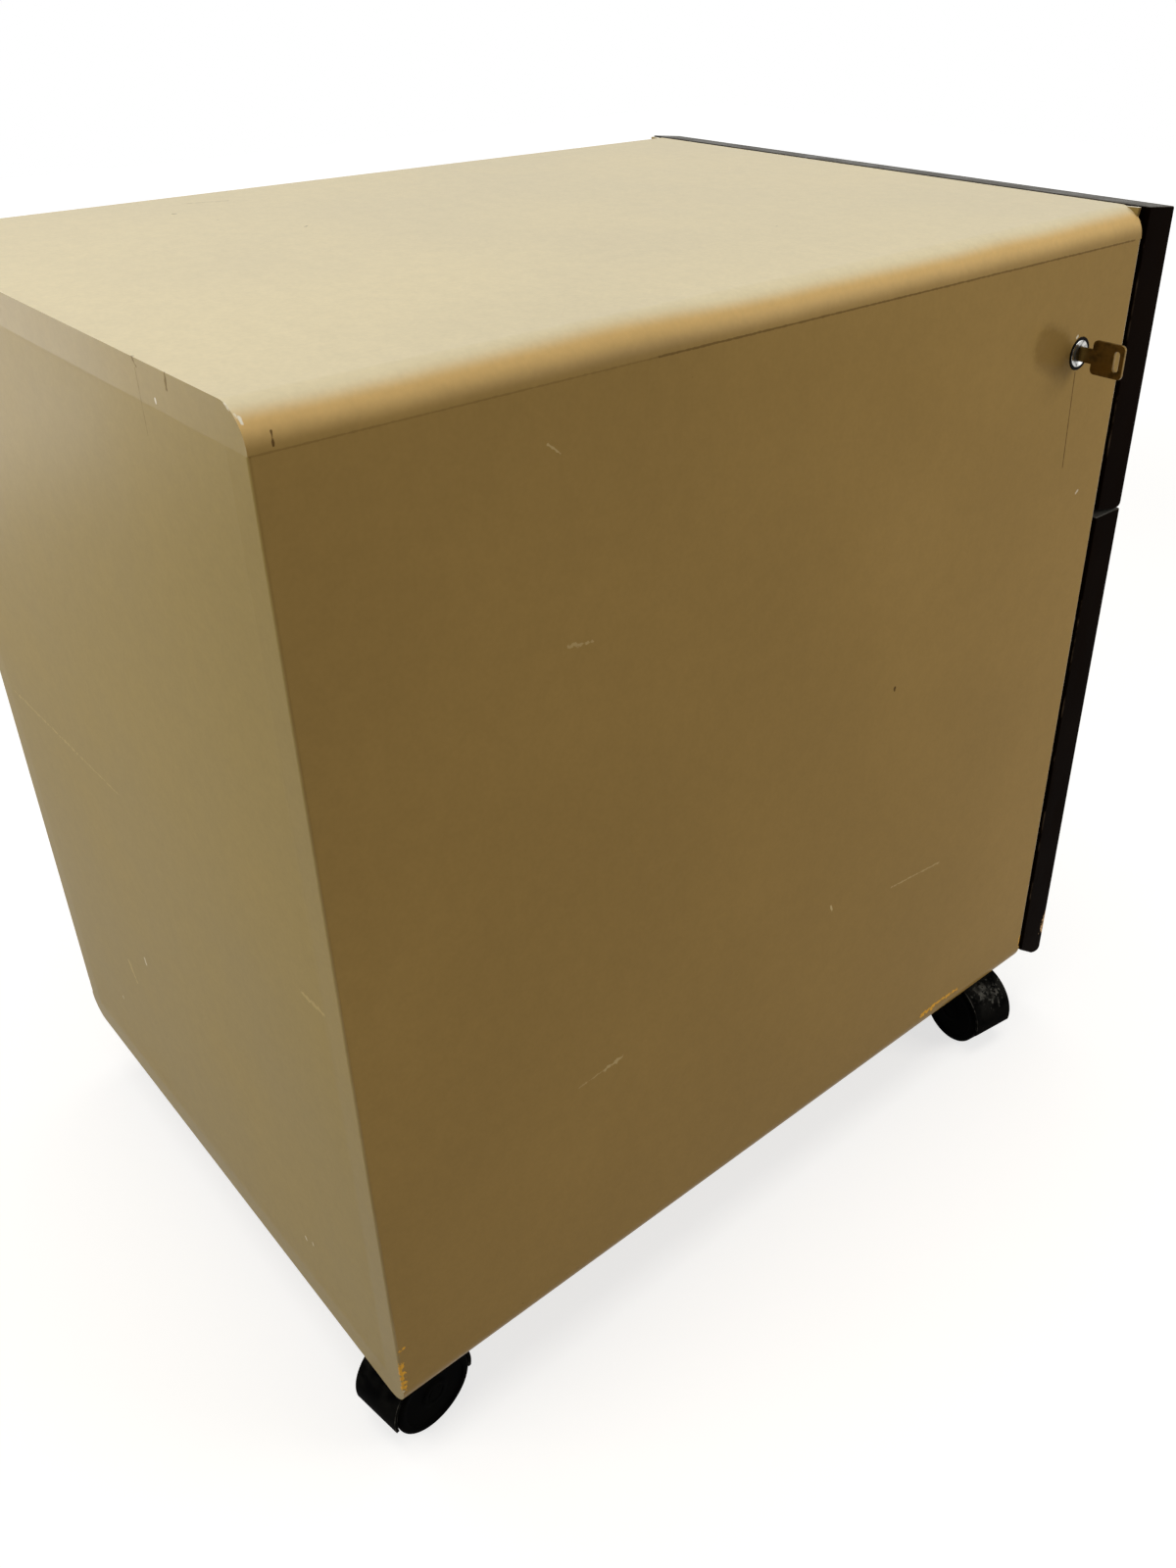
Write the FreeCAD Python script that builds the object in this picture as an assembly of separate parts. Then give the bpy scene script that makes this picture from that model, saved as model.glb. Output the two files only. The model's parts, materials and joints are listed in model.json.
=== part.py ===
import FreeCAD, Part

import math
import os
from FreeCAD import Vector

# Microfiche cabinet on casters. Lengths are millimetres.
# While it is drawn, the carcass is centred on x = 0 and y = 0, the floor is z = 0,
# and the drawer fronts face -Y. The last step moves it to the centre of its whole box.

# Carcass of painted board
carcass_width = 408.0
carcass_depth = 530.0
carcass_height = 530.0
board = 16.0
edge_radius = board
rail_depth = 40.0
dowel_radius = 3.0
dowel_in_cover = 7.0
dowel_in_side = 20.0
dowel_place_shares = (-0.42, 0.0, 0.42)

# Drawer fronts, each with its lower edge swept up at the back
front_thickness = 26.0
front_stand_off = 4.0
front_gap = 1.0
upper_front_height = 179.5
upper_front_top_slant = 2.6
upper_front_sweep = 4.0
lower_front_overhang = 3.0
lower_front_sweep = 13.0
front_flat = 8.0
front_turn_radius = 12.0
front_nose_radius = 3.5
front_edge_radius = 0.8

# Finger pull let into each front
pull_width = 104.0
pull_height = 34.0
pull_behind = 8.0
pull_wall = 2.0
pull_flange = 6.0
pull_flange_thickness = 1.5
pull_flange_corner = 5.0
pull_lip = 4.0
pull_below_edge = 62.0

# Drawer boxes of thin board
box_board = 12.0
box_back_room = 28.0
box_bottom = 6.0
box_bottom_rise = 8.0
box_groove = 5.0
upper_box_clearance = 5.0
upper_box_headroom = 34.25
lower_box_clearance = 12.0
lower_box_headroom = 25.75
divider = 9.0
divider_core = 3.0
divider_below_rim = 9.0
hang_rail_thickness = 3.0
hang_rail_height = 14.0
hang_rail_seat = 6.0

# Follower plates behind the rows of fiche
follower_sheet = 1.5
follower_below_rim = 9.0
follower_foot = 30.0
follower_side_gap = 0.5
follower_lift = 0.3
follower_rest_gap = 5.0
follower_tab_height = 3.4
follower_tab_rise = 20.0
follower_corner = 10.0

# Telescopic slides: three channels, one inside the other
slide_space = 12.7
slide_set_back = 3.0
slide_back_room = 31.0
slide_height = 45.6
slide_sheet = 1.2
slide_gap = 0.4
slide_mouth_gap = 3.7
slide_edge_gap = 0.9
upper_slide_rise = 40.0
lower_slide_rise = 100.0

# Screws
screw_radius = 1.75
screw_end_cover = 4.0
screw_head_radius = 3.2
screw_head_height = 1.6
screw_place_shares = (-0.36, 0.1, 0.4)
box_screw_cover = 2.4
front_screw_radius = 2.0
front_screw_head_radius = 4.0
front_screw_head_height = 2.0
front_screw_bite = 16.0
front_screw_inset = 40.0
front_screw_edge = 22.0

# Cam lock in the left side board, its key and the bar that it lifts
lock_from_front = 44.5
lock_below_top = 70.5
lock_flange_radius = 8.0
lock_flange_thickness = 1.6
lock_proud = 0.4
lock_ring_gap = 1.1
lock_barrel_radius = 6.0
lock_barrel_gap = 0.1
lock_barrel_wall = 1.65
lock_nut_wall = 2.0
lock_nut_thickness = 3.0
lock_nut_bar_gap = 1.1
lock_barrel_past_nut = 0.6
plug_gap = 0.05
plug_past_barrel = 0.3
keyway_rim = 1.0
keyway_depth = 9.5
keyway_gap = 0.15
key_thickness = 1.6
key_neck_height = 8.0
key_neck_length = 8.3
key_bow_length = 19.5
key_bow_height = 18.5
key_bow_corner = 2.6
key_slot_width = 3.2
key_slot_height = 11.0
key_slot_from_end = 4.4
cam_thickness = 2.0
cam_hub_radius = 5.5
cam_end_radius = 3.2
cam_pin_radius = 1.5
cam_pin_gap = 0.3
cam_screw_radius = 1.5
cam_screw_length = 6.0
cam_screw_head_radius = 2.8
cam_screw_head_height = 1.2
bar_groove_depth = 6.0
bar_thickness = 2.0
bar_floor_gap = 0.6
bar_side_gap = 0.4
bar_wall = 1.8
bar_slot_play = 0.75
bar_end_margin = 6.0
hook_height = 5.0
hook_width = 8.0
hook_box_gap = 3.2
hook_to_catch = 1.0
guide_sheet = 1.4
guide_height = 8.0
guide_overlap = 6.0
guide_screw_radius = 0.9
guide_screw_length = 6.0
guide_screw_margin = 0.4
upper_guide_above_slide = 2.4
lower_guide_above_hook = 32.0
lock_turn = 90.0
catch_sheet = 1.8
catch_leg = 3.0
catch_height = 12.0
catch_foot = 24.0
catch_wall_gap = 1.2
upper_catch_rise = 8.0
lower_catch_below_rim = 38.0

# Casters: swivel plate, hood, axle and two wheels each
wheel_radius = 25.0
wheel_width = 11.5
wheel_side_gap = 0.5
wheel_outer_round = 2.5
wheel_inner_round = 1.0
wheel_rim = 5.5
wheel_dish_depth = 1.0
wheel_hub_radius = 8.5
hub_cap = 1.2
axle_radius = 3.0
axle_gap = 0.05
hood_web = 12.0
hood_gap = 0.6
hood_wall = 1.9
hood_short_of_wheel = 1.2
hood_skirt_drop = 5.7
web_drop = 8.0
caster_trail = 20.0
swivel_pin_radius = 3.5
swivel_pin_gap = 0.05
swivel_pin_length = 20.0
swivel_pin_end_gap = 1.0
swivel_boss_radius = 9.0
swivel_boss_height = 16.5
swivel_clearance = 0.5
caster_plate = 2.0
caster_plate_size = 38.0
caster_plate_corner = 3.0
caster_screw_inset = 5.0
caster_from_side = 37.0
caster_from_front = 29.0
caster_from_back = 43.0

# Heading of each caster's trail at rest, in degrees from +X
heading_front_left = 172.5
heading_front_right = 118.0
heading_back_left = 97.6
heading_back_right = 215.0

# One overrun for every cut
overrun = 1.0

# Places that follow from the sizes above
half_width = carcass_width / 2
half_depth = carcass_depth / 2
axle_height = wheel_radius
hood_room_radius = wheel_radius + hood_gap
hood_radius = hood_room_radius + hood_wall
plate_underside = axle_height + hood_radius + swivel_clearance
carcass_bottom = plate_underside + caster_plate
carcass_top = carcass_bottom + carcass_height
inner_half = half_width - board
inner_bottom = carcass_bottom + board
inner_top = carcass_top - board
inner_back = half_depth - board
front_plane = -half_depth
front_back_face = front_plane - front_stand_off
front_face = front_back_face - front_thickness
split_height = carcass_top - upper_front_height
pull_depth = front_thickness - pull_behind

middle_rail_bottom = split_height + front_gap / 2 - board / 2
middle_rail_top = middle_rail_bottom + board
box_half = inner_half - slide_space
box_inner_half = box_half - box_board
box_back = inner_back - box_back_room
upper_box_base = middle_rail_top + upper_box_clearance
upper_box_rim = inner_top - upper_box_headroom
lower_box_base = inner_bottom + lower_box_clearance
lower_box_rim = middle_rail_bottom - lower_box_headroom
follower_groove_depth = (divider - divider_core) / 2
follower_tab_reach = follower_groove_depth - follower_side_gap
upper_slide_height = upper_box_base + upper_slide_rise
lower_slide_height = lower_box_base + lower_slide_rise
slide_front = front_plane + slide_set_back
slide_length = inner_back - slide_back_room - slide_front
screw_length = board - screw_end_cover

lock_y = front_plane + lock_from_front
lock_z = carcass_top - lock_below_top
lock_face = -half_width - lock_proud
groove_floor = -inner_half - bar_groove_depth
barrel_end = groove_floor + lock_nut_thickness + lock_barrel_past_nut
plug_radius = lock_barrel_radius - lock_barrel_wall - plug_gap
plug_end = barrel_end + plug_past_barrel
lock_nut_half = lock_barrel_radius + lock_nut_wall
keyway_half = plug_radius - keyway_rim
cam_swing_half = math.radians(lock_turn) / 2
pin_out = lock_nut_half + lock_nut_bar_gap + bar_wall + cam_pin_gap + cam_pin_radius
cam_throw = pin_out / math.cos(cam_swing_half)
pin_down = cam_throw * math.sin(cam_swing_half)
bar_lift = 2 * pin_down
bar_near = lock_y + lock_nut_half + lock_nut_bar_gap
bar_far = lock_y + cam_throw + cam_pin_radius + cam_pin_gap + bar_wall
bar_back = groove_floor + bar_floor_gap
bar_face = bar_back + bar_thickness
upper_catch_z = upper_box_base + upper_catch_rise
lower_catch_z = lower_box_rim - lower_catch_below_rim
bar_top = lock_z - pin_down + bar_end_margin
bar_bottom = lower_catch_z - bar_lift - hook_height / 2 - bar_end_margin
hook_tip = -inner_half + slide_space - hook_box_gap
hook_far = bar_far - bar_wall
hook_near = hook_far - hook_width
catch_near = hook_far + hook_to_catch


def block(x0, x1, y0, y1, z0, z1):
    """A box between two corners."""
    return Part.makeBox(x1 - x0, y1 - y0, z1 - z0, Vector(x0, y0, z0))


def rod(radius, start, direction, length):
    """A cylinder from a point, along a direction."""
    return Part.makeCylinder(radius, length, start, direction)


def outline(points):
    """A closed wire of straight lines through the points."""
    return Part.makePolygon(list(points) + [points[0]])


def prism(points, sweep):
    """A straight-sided solid over an outline."""
    return Part.Face(outline(points)).extrude(sweep)


def edges_along(solid, direction, near, reach):
    """The straight edges along a direction whose middle lies within reach of a point."""
    found = []
    for edge in solid.Edges:
        if not isinstance(edge.Curve, Part.Line):
            continue
        run = edge.Vertexes[-1].Point - edge.Vertexes[0].Point
        if run.cross(direction).Length > reach * direction.Length:
            continue
        gap = edge.CenterOfMass - near
        gap = gap - direction * gap.dot(direction)
        if gap.Length < reach:
            found.append(edge)
    return found


def countersunk_screw(start, direction, radius, length, head_radius, head_height):
    """A screw whose flat head lies flush at the start point."""
    head = Part.makeCone(head_radius, radius, head_height, start, direction)
    return head.fuse(rod(radius, start, direction, length)).removeSplitter()


def pan_screw(start, direction, radius, length, head_radius, head_height):
    """A screw whose head stands out behind the start point."""
    head = rod(head_radius, start - direction * head_height, direction, head_height)
    return head.fuse(rod(radius, start, direction, length)).removeSplitter()


def cut_all(solid, tools):
    """The solid less every tool."""
    return solid.cut(Part.makeCompound(list(tools)))


# Carcass

def cover_board(flat_z, round_z):
    """Top or bottom board: flat outside at flat_z, its long edges rounded down to round_z."""
    way = 1 if flat_z > round_z else -1
    bend = edge_radius * math.sqrt(0.5)
    left, right = -half_width, half_width
    y = -half_depth
    start = Vector(left, y, round_z)
    left_mid = Vector(left + edge_radius - bend, y, round_z + way * bend)
    left_end = Vector(left + edge_radius, y, flat_z)
    right_start = Vector(right - edge_radius, y, flat_z)
    right_mid = Vector(right - edge_radius + bend, y, round_z + way * bend)
    end = Vector(right, y, round_z)
    wire = Part.Wire([
        Part.Arc(start, left_mid, left_end).toShape(),
        Part.LineSegment(left_end, right_start).toShape(),
        Part.Arc(right_start, right_mid, end).toShape(),
        Part.LineSegment(end, start).toShape(),
    ])
    return Part.Face(wire).extrude(Vector(0, carcass_depth, 0))


def carcass_dowels():
    """Dowels across the four joints between the side boards and the covers."""
    dowels = []
    for side in (-1, 1):
        x = side * (half_width - board / 2)
        for share in dowel_place_shares:
            y = share * carcass_depth
            length = dowel_in_cover + dowel_in_side
            top = Vector(x, y, inner_top - dowel_in_side)
            low = Vector(x, y, inner_bottom - dowel_in_cover)
            dowels.append(rod(dowel_radius, top, Vector(0, 0, 1), length))
            dowels.append(rod(dowel_radius, low, Vector(0, 0, 1), length))
    return dowels


def lock_cuts():
    """Hole, seat, nut pocket and bar groove of the left side board."""
    outside = Vector(-half_width - overrun, lock_y, lock_z)
    along = Vector(1, 0, 0)
    hole = rod(lock_barrel_radius + lock_barrel_gap, outside, along, board + 2 * overrun)
    seat_radius = lock_flange_radius + lock_ring_gap
    seat = rod(seat_radius, outside, along, lock_flange_thickness - lock_proud + overrun)
    pocket_radius = cam_throw + cam_end_radius + bar_side_gap
    pocket = rod(pocket_radius, Vector(groove_floor, lock_y, lock_z), along, bar_groove_depth + overrun)
    groove = block(
        groove_floor, -inner_half + overrun,
        bar_near - bar_side_gap, bar_far + bar_side_gap,
        bar_bottom - bar_side_gap, bar_top + bar_lift + bar_side_gap,
    )
    return [hole, seat, pocket, groove]


def guide_heights():
    """Lower faces of the two guides of the lock bar."""
    upper = upper_slide_height + slide_height / 2 + upper_guide_above_slide
    lower = lower_catch_z + lower_guide_above_hook
    return (lower, upper)


def lock_bar_guides():
    """Two straps over the groove, flush on the inside of the side board."""
    straps = []
    for z in guide_heights():
        straps.append(block(
            -inner_half, -inner_half + guide_sheet,
            bar_near - guide_overlap, bar_far + guide_overlap,
            z, z + guide_height,
        ))
    return straps


def guide_screws():
    """One screw through each end of each guide."""
    screws = []
    middle = (guide_overlap + bar_side_gap) / 2
    for z in guide_heights():
        for y in (bar_near - middle, bar_far + middle):
            start = Vector(-inner_half + guide_sheet, y, z + guide_height / 2)
            screws.append(countersunk_screw(
                start, Vector(-1, 0, 0), guide_screw_radius, guide_screw_length,
                guide_overlap / 2 - guide_screw_margin, guide_sheet,
            ))
    return screws


# Telescopic slides, drawn from the side wall (u = 0) to the drawer box (u = slide_space)

def channel(side, height, u0, u1, web_at_wall, half):
    """One channel of a slide: a web and two flanges, from u0 to u1."""
    def x(u):
        return side * (inner_half - u)

    def piece(ua, ub, z0, z1):
        xa, xb = sorted((x(ua), x(ub)))
        return block(xa, xb, slide_front, slide_front + slide_length, z0, z1)

    web = (u0, u0 + slide_sheet) if web_at_wall else (u1 - slide_sheet, u1)
    shape = piece(web[0], web[1], height - half, height + half)
    for z0, z1 in ((half - slide_sheet, half), (-half, slide_sheet - half)):
        shape = shape.fuse(piece(u0, u1, height + z0, height + z1))
    return shape.removeSplitter()


def slide_halves():
    """Half heights of the cabinet, middle and drawer channels."""
    cabinet = slide_height / 2
    middle = cabinet - slide_sheet - slide_gap
    drawer = middle - slide_sheet - slide_gap
    return cabinet, middle, drawer


def cabinet_channels(height):
    """Left and right channels fixed to the carcass."""
    half = slide_halves()[0]
    reach = slide_space - slide_mouth_gap
    return [channel(side, height, 0, reach, True, half) for side in (-1, 1)]


def middle_channels(height):
    """Left and right channels between the carcass and the drawer."""
    half = slide_halves()[1]
    start = slide_sheet + slide_gap
    reach = slide_space - slide_sheet - slide_edge_gap
    return [channel(side, height, start, reach, True, half) for side in (-1, 1)]


def drawer_channels(height):
    """Left and right channels fixed to the drawer box."""
    half = slide_halves()[2]
    start = 2 * (slide_sheet + slide_gap)
    return [channel(side, height, start, slide_space, False, half) for side in (-1, 1)]


def slide_screw_places():
    """Where the screws of a slide stand along it."""
    middle = slide_front + slide_length / 2
    return [middle + share * slide_length for share in screw_place_shares]


def cabinet_slide_screws(height):
    """Flush screws through the cabinet channels into the side boards."""
    screws = []
    for side in (-1, 1):
        for y in slide_screw_places():
            start = Vector(side * (inner_half - slide_sheet), y, height)
            screws.append(countersunk_screw(
                start, Vector(side, 0, 0), screw_radius, screw_length,
                screw_head_radius, slide_sheet,
            ))
    return screws


def drawer_slide_screws(height):
    """Screws through the drawer channels into the box sides."""
    screws = []
    for side in (-1, 1):
        for y in slide_screw_places():
            start = Vector(side * (box_half + slide_sheet), y, height)
            screws.append(pan_screw(
                start, Vector(-side, 0, 0), screw_radius, slide_sheet + box_board - box_screw_cover,
                screw_head_radius, screw_head_height,
            ))
    return screws


# Drawers

def drawer_front(top, top_slant, low, sweep):
    """A drawer front: its section in Y and Z runs across the width, then its long edges are rounded."""
    across = Vector(1, 0, 0)
    points = [
        Vector(-half_width, front_back_face, top),
        Vector(-half_width, front_face, top - top_slant),
        Vector(-half_width, front_face, low),
        Vector(-half_width, front_face + front_flat, low),
        Vector(-half_width, front_back_face, low + sweep),
    ]
    turn_angle = math.atan2(sweep, front_thickness - front_flat)
    turn_reach = front_turn_radius * math.tan(turn_angle / 2)
    roundings = [
        (Vector(0, front_face, top - top_slant), front_edge_radius),
        (Vector(0, front_face + front_flat, low), front_turn_radius),
        (Vector(0, front_face, low), min(front_nose_radius, front_flat - turn_reach)),
    ]
    solid = prism(points, Vector(carcass_width, 0, 0))
    for place, radius in roundings:
        solid = solid.makeFillet(radius, edges_along(solid, across, place, front_edge_radius))
    return solid


def upper_front():
    """Upper drawer front, its top slanted down to the front."""
    return drawer_front(carcass_top, upper_front_top_slant, split_height + front_gap, upper_front_sweep)


def lower_front():
    """Lower drawer front, which hangs a little below the carcass."""
    return drawer_front(split_height, 0.0, carcass_bottom - lower_front_overhang, lower_front_sweep)


def pull_insert(height):
    """Moulded finger pull: a tray behind a flange, with a lip to hook the fingers behind."""
    half_w, half_h = pull_width / 2, pull_height / 2
    tray = block(-half_w, half_w, front_face, front_face + pull_depth, height - half_h, height + half_h)
    hollow = block(
        -half_w + pull_wall, half_w - pull_wall,
        front_face, front_face + pull_depth - pull_wall,
        height - half_h + pull_wall, height + half_h - pull_wall,
    )
    flange = block(
        -half_w - pull_flange, half_w + pull_flange,
        front_face - pull_flange_thickness, front_face,
        height - half_h - pull_flange, height + half_h + pull_flange,
    )
    corners = [e for e in flange.Edges if abs(e.tangentAt(e.FirstParameter).y) > 0.5]
    flange = flange.makeFillet(pull_flange_corner, corners)
    mouth = block(
        -half_w + pull_wall, half_w - pull_wall,
        front_face - pull_flange_thickness - overrun, front_face + overrun,
        height - half_h + pull_wall, height + half_h - pull_wall - pull_lip,
    )
    lip = block(
        -half_w + pull_wall, half_w - pull_wall,
        front_face, front_face + pull_wall,
        height + half_h - pull_wall - pull_lip, height + half_h - pull_wall,
    )
    return tray.cut(hollow).fuse(flange).cut(mouth).fuse(lip).removeSplitter()


def pull_pocket(height):
    """Room for the tray of a finger pull in its front."""
    half_w, half_h = pull_width / 2, pull_height / 2
    return block(
        -half_w, half_w, front_face - overrun, front_face + pull_depth,
        height - half_h, height + half_h,
    )


def front_screws(base, rim):
    """Four screws from inside the box into the front."""
    screws = []
    for side in (-1, 1):
        for z in (base + box_bottom_rise + front_screw_edge, rim - front_screw_edge):
            start = Vector(side * (box_inner_half - front_screw_inset), front_back_face + box_board, z)
            screws.append(countersunk_screw(
                start, Vector(0, -1, 0), front_screw_radius, box_board + front_screw_bite,
                front_screw_head_radius, front_screw_head_height,
            ))
    return screws


def drawer_box(base, rim):
    """Planks of a drawer box: front, left, right, back and the bottom let into grooves."""
    y0, y1 = front_back_face, box_back
    z0, z1 = base, rim
    floor_z = base + box_bottom_rise
    bottom = block(
        -box_inner_half - box_groove, box_inner_half + box_groove,
        y0 + box_board - box_groove, y1 - box_board + box_groove,
        floor_z, floor_z + box_bottom,
    )
    planks = {
        "box_front": block(-box_inner_half, box_inner_half, y0, y0 + box_board, z0, z1),
        "box_left": block(-box_half, -box_inner_half, y0, y1, z0, z1),
        "box_right": block(box_inner_half, box_half, y0, y1, z0, z1),
        "box_back": block(-box_inner_half, box_inner_half, y1 - box_board, y1, z0, z1),
    }
    planks = {name: plank.cut(bottom) for name, plank in planks.items()}
    planks["box_bottom"] = bottom
    return planks


def row_floor():
    """Height of the floor that the fiche stand on."""
    return upper_box_base + box_bottom_rise + box_bottom


def follower_grooves():
    """Grooves for the tabs of the followers, along both walls of each row."""
    z = row_floor() + follower_tab_rise
    height = follower_tab_height + 2 * follower_lift
    y0, y1 = front_back_face + box_board, box_back - box_board
    spans = (
        (-box_inner_half - follower_groove_depth, -box_inner_half),
        (-divider / 2, -divider / 2 + follower_groove_depth),
        (divider / 2 - follower_groove_depth, divider / 2),
        (box_inner_half, box_inner_half + follower_groove_depth),
    )
    return [block(a, b, y0, y1, z, z + height) for a, b in spans]


def follower(side):
    """Follower plate: upright sheet, foot behind it and a tab each side."""
    near = divider / 2 + follower_side_gap
    far = box_inner_half - follower_side_gap
    low = row_floor() + follower_lift
    top = upper_box_rim - follower_below_rim
    y1 = box_back - box_board - follower_rest_gap - follower_foot
    y0 = y1 - follower_sheet
    plate = block(near, far, y0, y1, low, top)
    top_corners = [
        e for e in plate.Edges
        if abs(e.tangentAt(e.FirstParameter).y) > 0.5 and e.CenterOfMass.z > (low + top) / 2
    ]
    plate = plate.makeFillet(follower_corner, top_corners)
    foot = block(near, far, y0, y1 + follower_foot, low, low + follower_sheet)
    tab_z = low + follower_tab_rise
    tabs = block(
        near - follower_side_gap - follower_tab_reach, far + follower_side_gap + follower_tab_reach,
        y0, y1, tab_z, tab_z + follower_tab_height,
    )
    shape = plate.fuse([foot, tabs]).removeSplitter()
    return shape if side > 0 else shape.mirror(Vector(0, 0, 0), Vector(1, 0, 0))


def lock_catch(z):
    """Bracket on the left box side: a foot on the board and a leg out to the lock bar."""
    foot = block(
        -box_half - catch_sheet, -box_half,
        catch_near, catch_near + catch_foot, z - catch_height / 2, z + catch_height / 2,
    )
    leg = block(
        -inner_half + catch_wall_gap, -box_half,
        catch_near, catch_near + catch_leg, z - catch_height / 2, z + catch_height / 2,
    )
    return foot.fuse(leg).removeSplitter()


def hang_rails():
    """Two flat bars let into the top edges of the lower box sides."""
    centre = box_half - box_board / 2
    low = lower_box_rim - hang_rail_seat
    rails = []
    for side in (-1, 1):
        x0 = side * centre - hang_rail_thickness / 2
        rails.append(block(
            x0, x0 + hang_rail_thickness,
            front_back_face + box_board, box_back - box_board,
            low, low + hang_rail_height,
        ))
    return rails


# Lock

def lock_housing():
    """Chromed flange and barrel with the bore for the plug."""
    along = Vector(1, 0, 0)
    start = Vector(lock_face, lock_y, lock_z)
    flange = rod(lock_flange_radius, start, along, lock_flange_thickness)
    circles = [e for e in flange.Edges if isinstance(e.Curve, Part.Circle)]
    rim = [e for e in circles if e.CenterOfMass.x < lock_face + lock_proud]
    flange = flange.makeFillet(lock_proud, rim)
    barrel = rod(lock_barrel_radius, start, along, barrel_end - lock_face)
    bore = rod(plug_radius + plug_gap, start - along * overrun, along, barrel_end - lock_face + 2 * overrun)
    return flange.fuse(barrel).cut(bore).removeSplitter()


def lock_nut():
    """Hexagon nut that draws the housing tight from inside the groove pocket."""
    across = lock_nut_half / math.cos(math.radians(30))
    corners = []
    for i in range(6):
        turn = math.radians(60 * i)
        y = lock_y + across * math.sin(turn)
        corners.append(Vector(groove_floor, y, lock_z + across * math.cos(turn)))
    nut = prism(corners, Vector(lock_nut_thickness, 0, 0))
    hole = rod(
        lock_barrel_radius, Vector(groove_floor - overrun, lock_y, lock_z),
        Vector(1, 0, 0), lock_nut_thickness + 2 * overrun,
    )
    return nut.cut(hole)


def lock_plug():
    """Turning plug with its keyway."""
    along = Vector(1, 0, 0)
    start = Vector(lock_face, lock_y, lock_z)
    plug = rod(plug_radius, start, along, plug_end - lock_face)
    half_slot = key_thickness / 2 + keyway_gap
    keyway = block(
        lock_face - overrun, lock_face + keyway_depth,
        lock_y - half_slot, lock_y + half_slot, lock_z - keyway_half, lock_z + keyway_half,
    )
    screw_hole = rod(
        cam_screw_radius, Vector(plug_end + overrun, lock_y, lock_z),
        Vector(-1, 0, 0), cam_screw_length - cam_thickness + overrun,
    )
    return plug.cut(keyway).cut(screw_hole)


def lock_key():
    """Key in the lock, its bow upright at rest."""
    half_t = key_thickness / 2
    y0, y1 = lock_y - half_t, lock_y + half_t
    bow_in = -half_width - key_neck_length
    bow_out = bow_in - key_bow_length
    bow = block(
        bow_out, bow_in, y0, y1, lock_z - key_bow_height / 2, lock_z + key_bow_height / 2,
    )
    corners = [e for e in bow.Edges if abs(e.tangentAt(e.FirstParameter).y) > 0.5]
    bow = bow.makeFillet(key_bow_corner, corners)
    slot_x = bow_out + key_slot_from_end
    straight = (key_slot_height - key_slot_width) / 2
    slot = block(
        slot_x - key_slot_width / 2, slot_x + key_slot_width / 2, y0 - overrun, y1 + overrun,
        lock_z - straight, lock_z + straight,
    )
    for end in (-straight, straight):
        slot = slot.fuse(rod(
            key_slot_width / 2, Vector(slot_x, y0 - overrun, lock_z + end),
            Vector(0, 1, 0), key_thickness + 2 * overrun,
        ))
    neck = block(
        bow_in - key_bow_corner, lock_face, y0, y1,
        lock_z - key_neck_height / 2, lock_z + key_neck_height / 2,
    )
    blade_half = keyway_half - keyway_gap
    blade = block(
        bow_in, lock_face + keyway_depth - keyway_gap, y0, y1,
        lock_z - blade_half, lock_z + blade_half,
    )
    return bow.cut(slot).fuse([neck, blade]).removeSplitter()


def lock_cam():
    """Crank on the end of the plug, with the pin that lifts the bar."""
    along = Vector(1, 0, 0)
    centre = Vector(plug_end, lock_y, lock_z)
    pin_centre = centre + Vector(0, pin_out, -pin_down)
    hub = rod(cam_hub_radius, centre, along, cam_thickness)
    end = rod(cam_end_radius, pin_centre, along, cam_thickness)
    arm_line = (pin_centre - centre).normalize()
    across = arm_line.cross(along)
    arm = prism([
        centre + across * cam_end_radius,
        pin_centre + across * cam_end_radius,
        pin_centre - across * cam_end_radius,
        centre - across * cam_end_radius,
    ], Vector(cam_thickness, 0, 0))
    pin_length = plug_end - groove_floor - cam_pin_gap
    pin = rod(cam_pin_radius, pin_centre, Vector(-1, 0, 0), pin_length)
    return hub.fuse([end, arm, pin]).cut(cam_screw()).removeSplitter()


def cam_screw():
    """Countersunk screw that holds the cam on the plug."""
    start = Vector(plug_end + cam_thickness, lock_y, lock_z)
    return countersunk_screw(
        start, Vector(-1, 0, 0), cam_screw_radius, cam_screw_length,
        cam_screw_head_radius, cam_screw_head_height,
    )


def lock_bar():
    """Upright bar with the slot for the cam's pin and a hook for each drawer."""
    strip = block(bar_back, bar_face, bar_near, bar_far, bar_bottom, bar_top)
    slot_half = cam_pin_radius + bar_slot_play
    slot = block(
        bar_back - overrun, bar_face + overrun,
        bar_near + bar_wall, bar_far - bar_wall,
        lock_z - pin_down - slot_half, lock_z - pin_down + slot_half,
    )
    strip = strip.cut(slot)
    for z in (upper_catch_z, lower_catch_z):
        low = z - bar_lift - hook_height / 2
        strip = strip.fuse(block(
            bar_back, hook_tip, hook_near, hook_far, low, low + hook_height,
        ))
    return strip.removeSplitter()


# Casters, drawn with the swivel pin at x = y = 0 and the trail along +X

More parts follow.
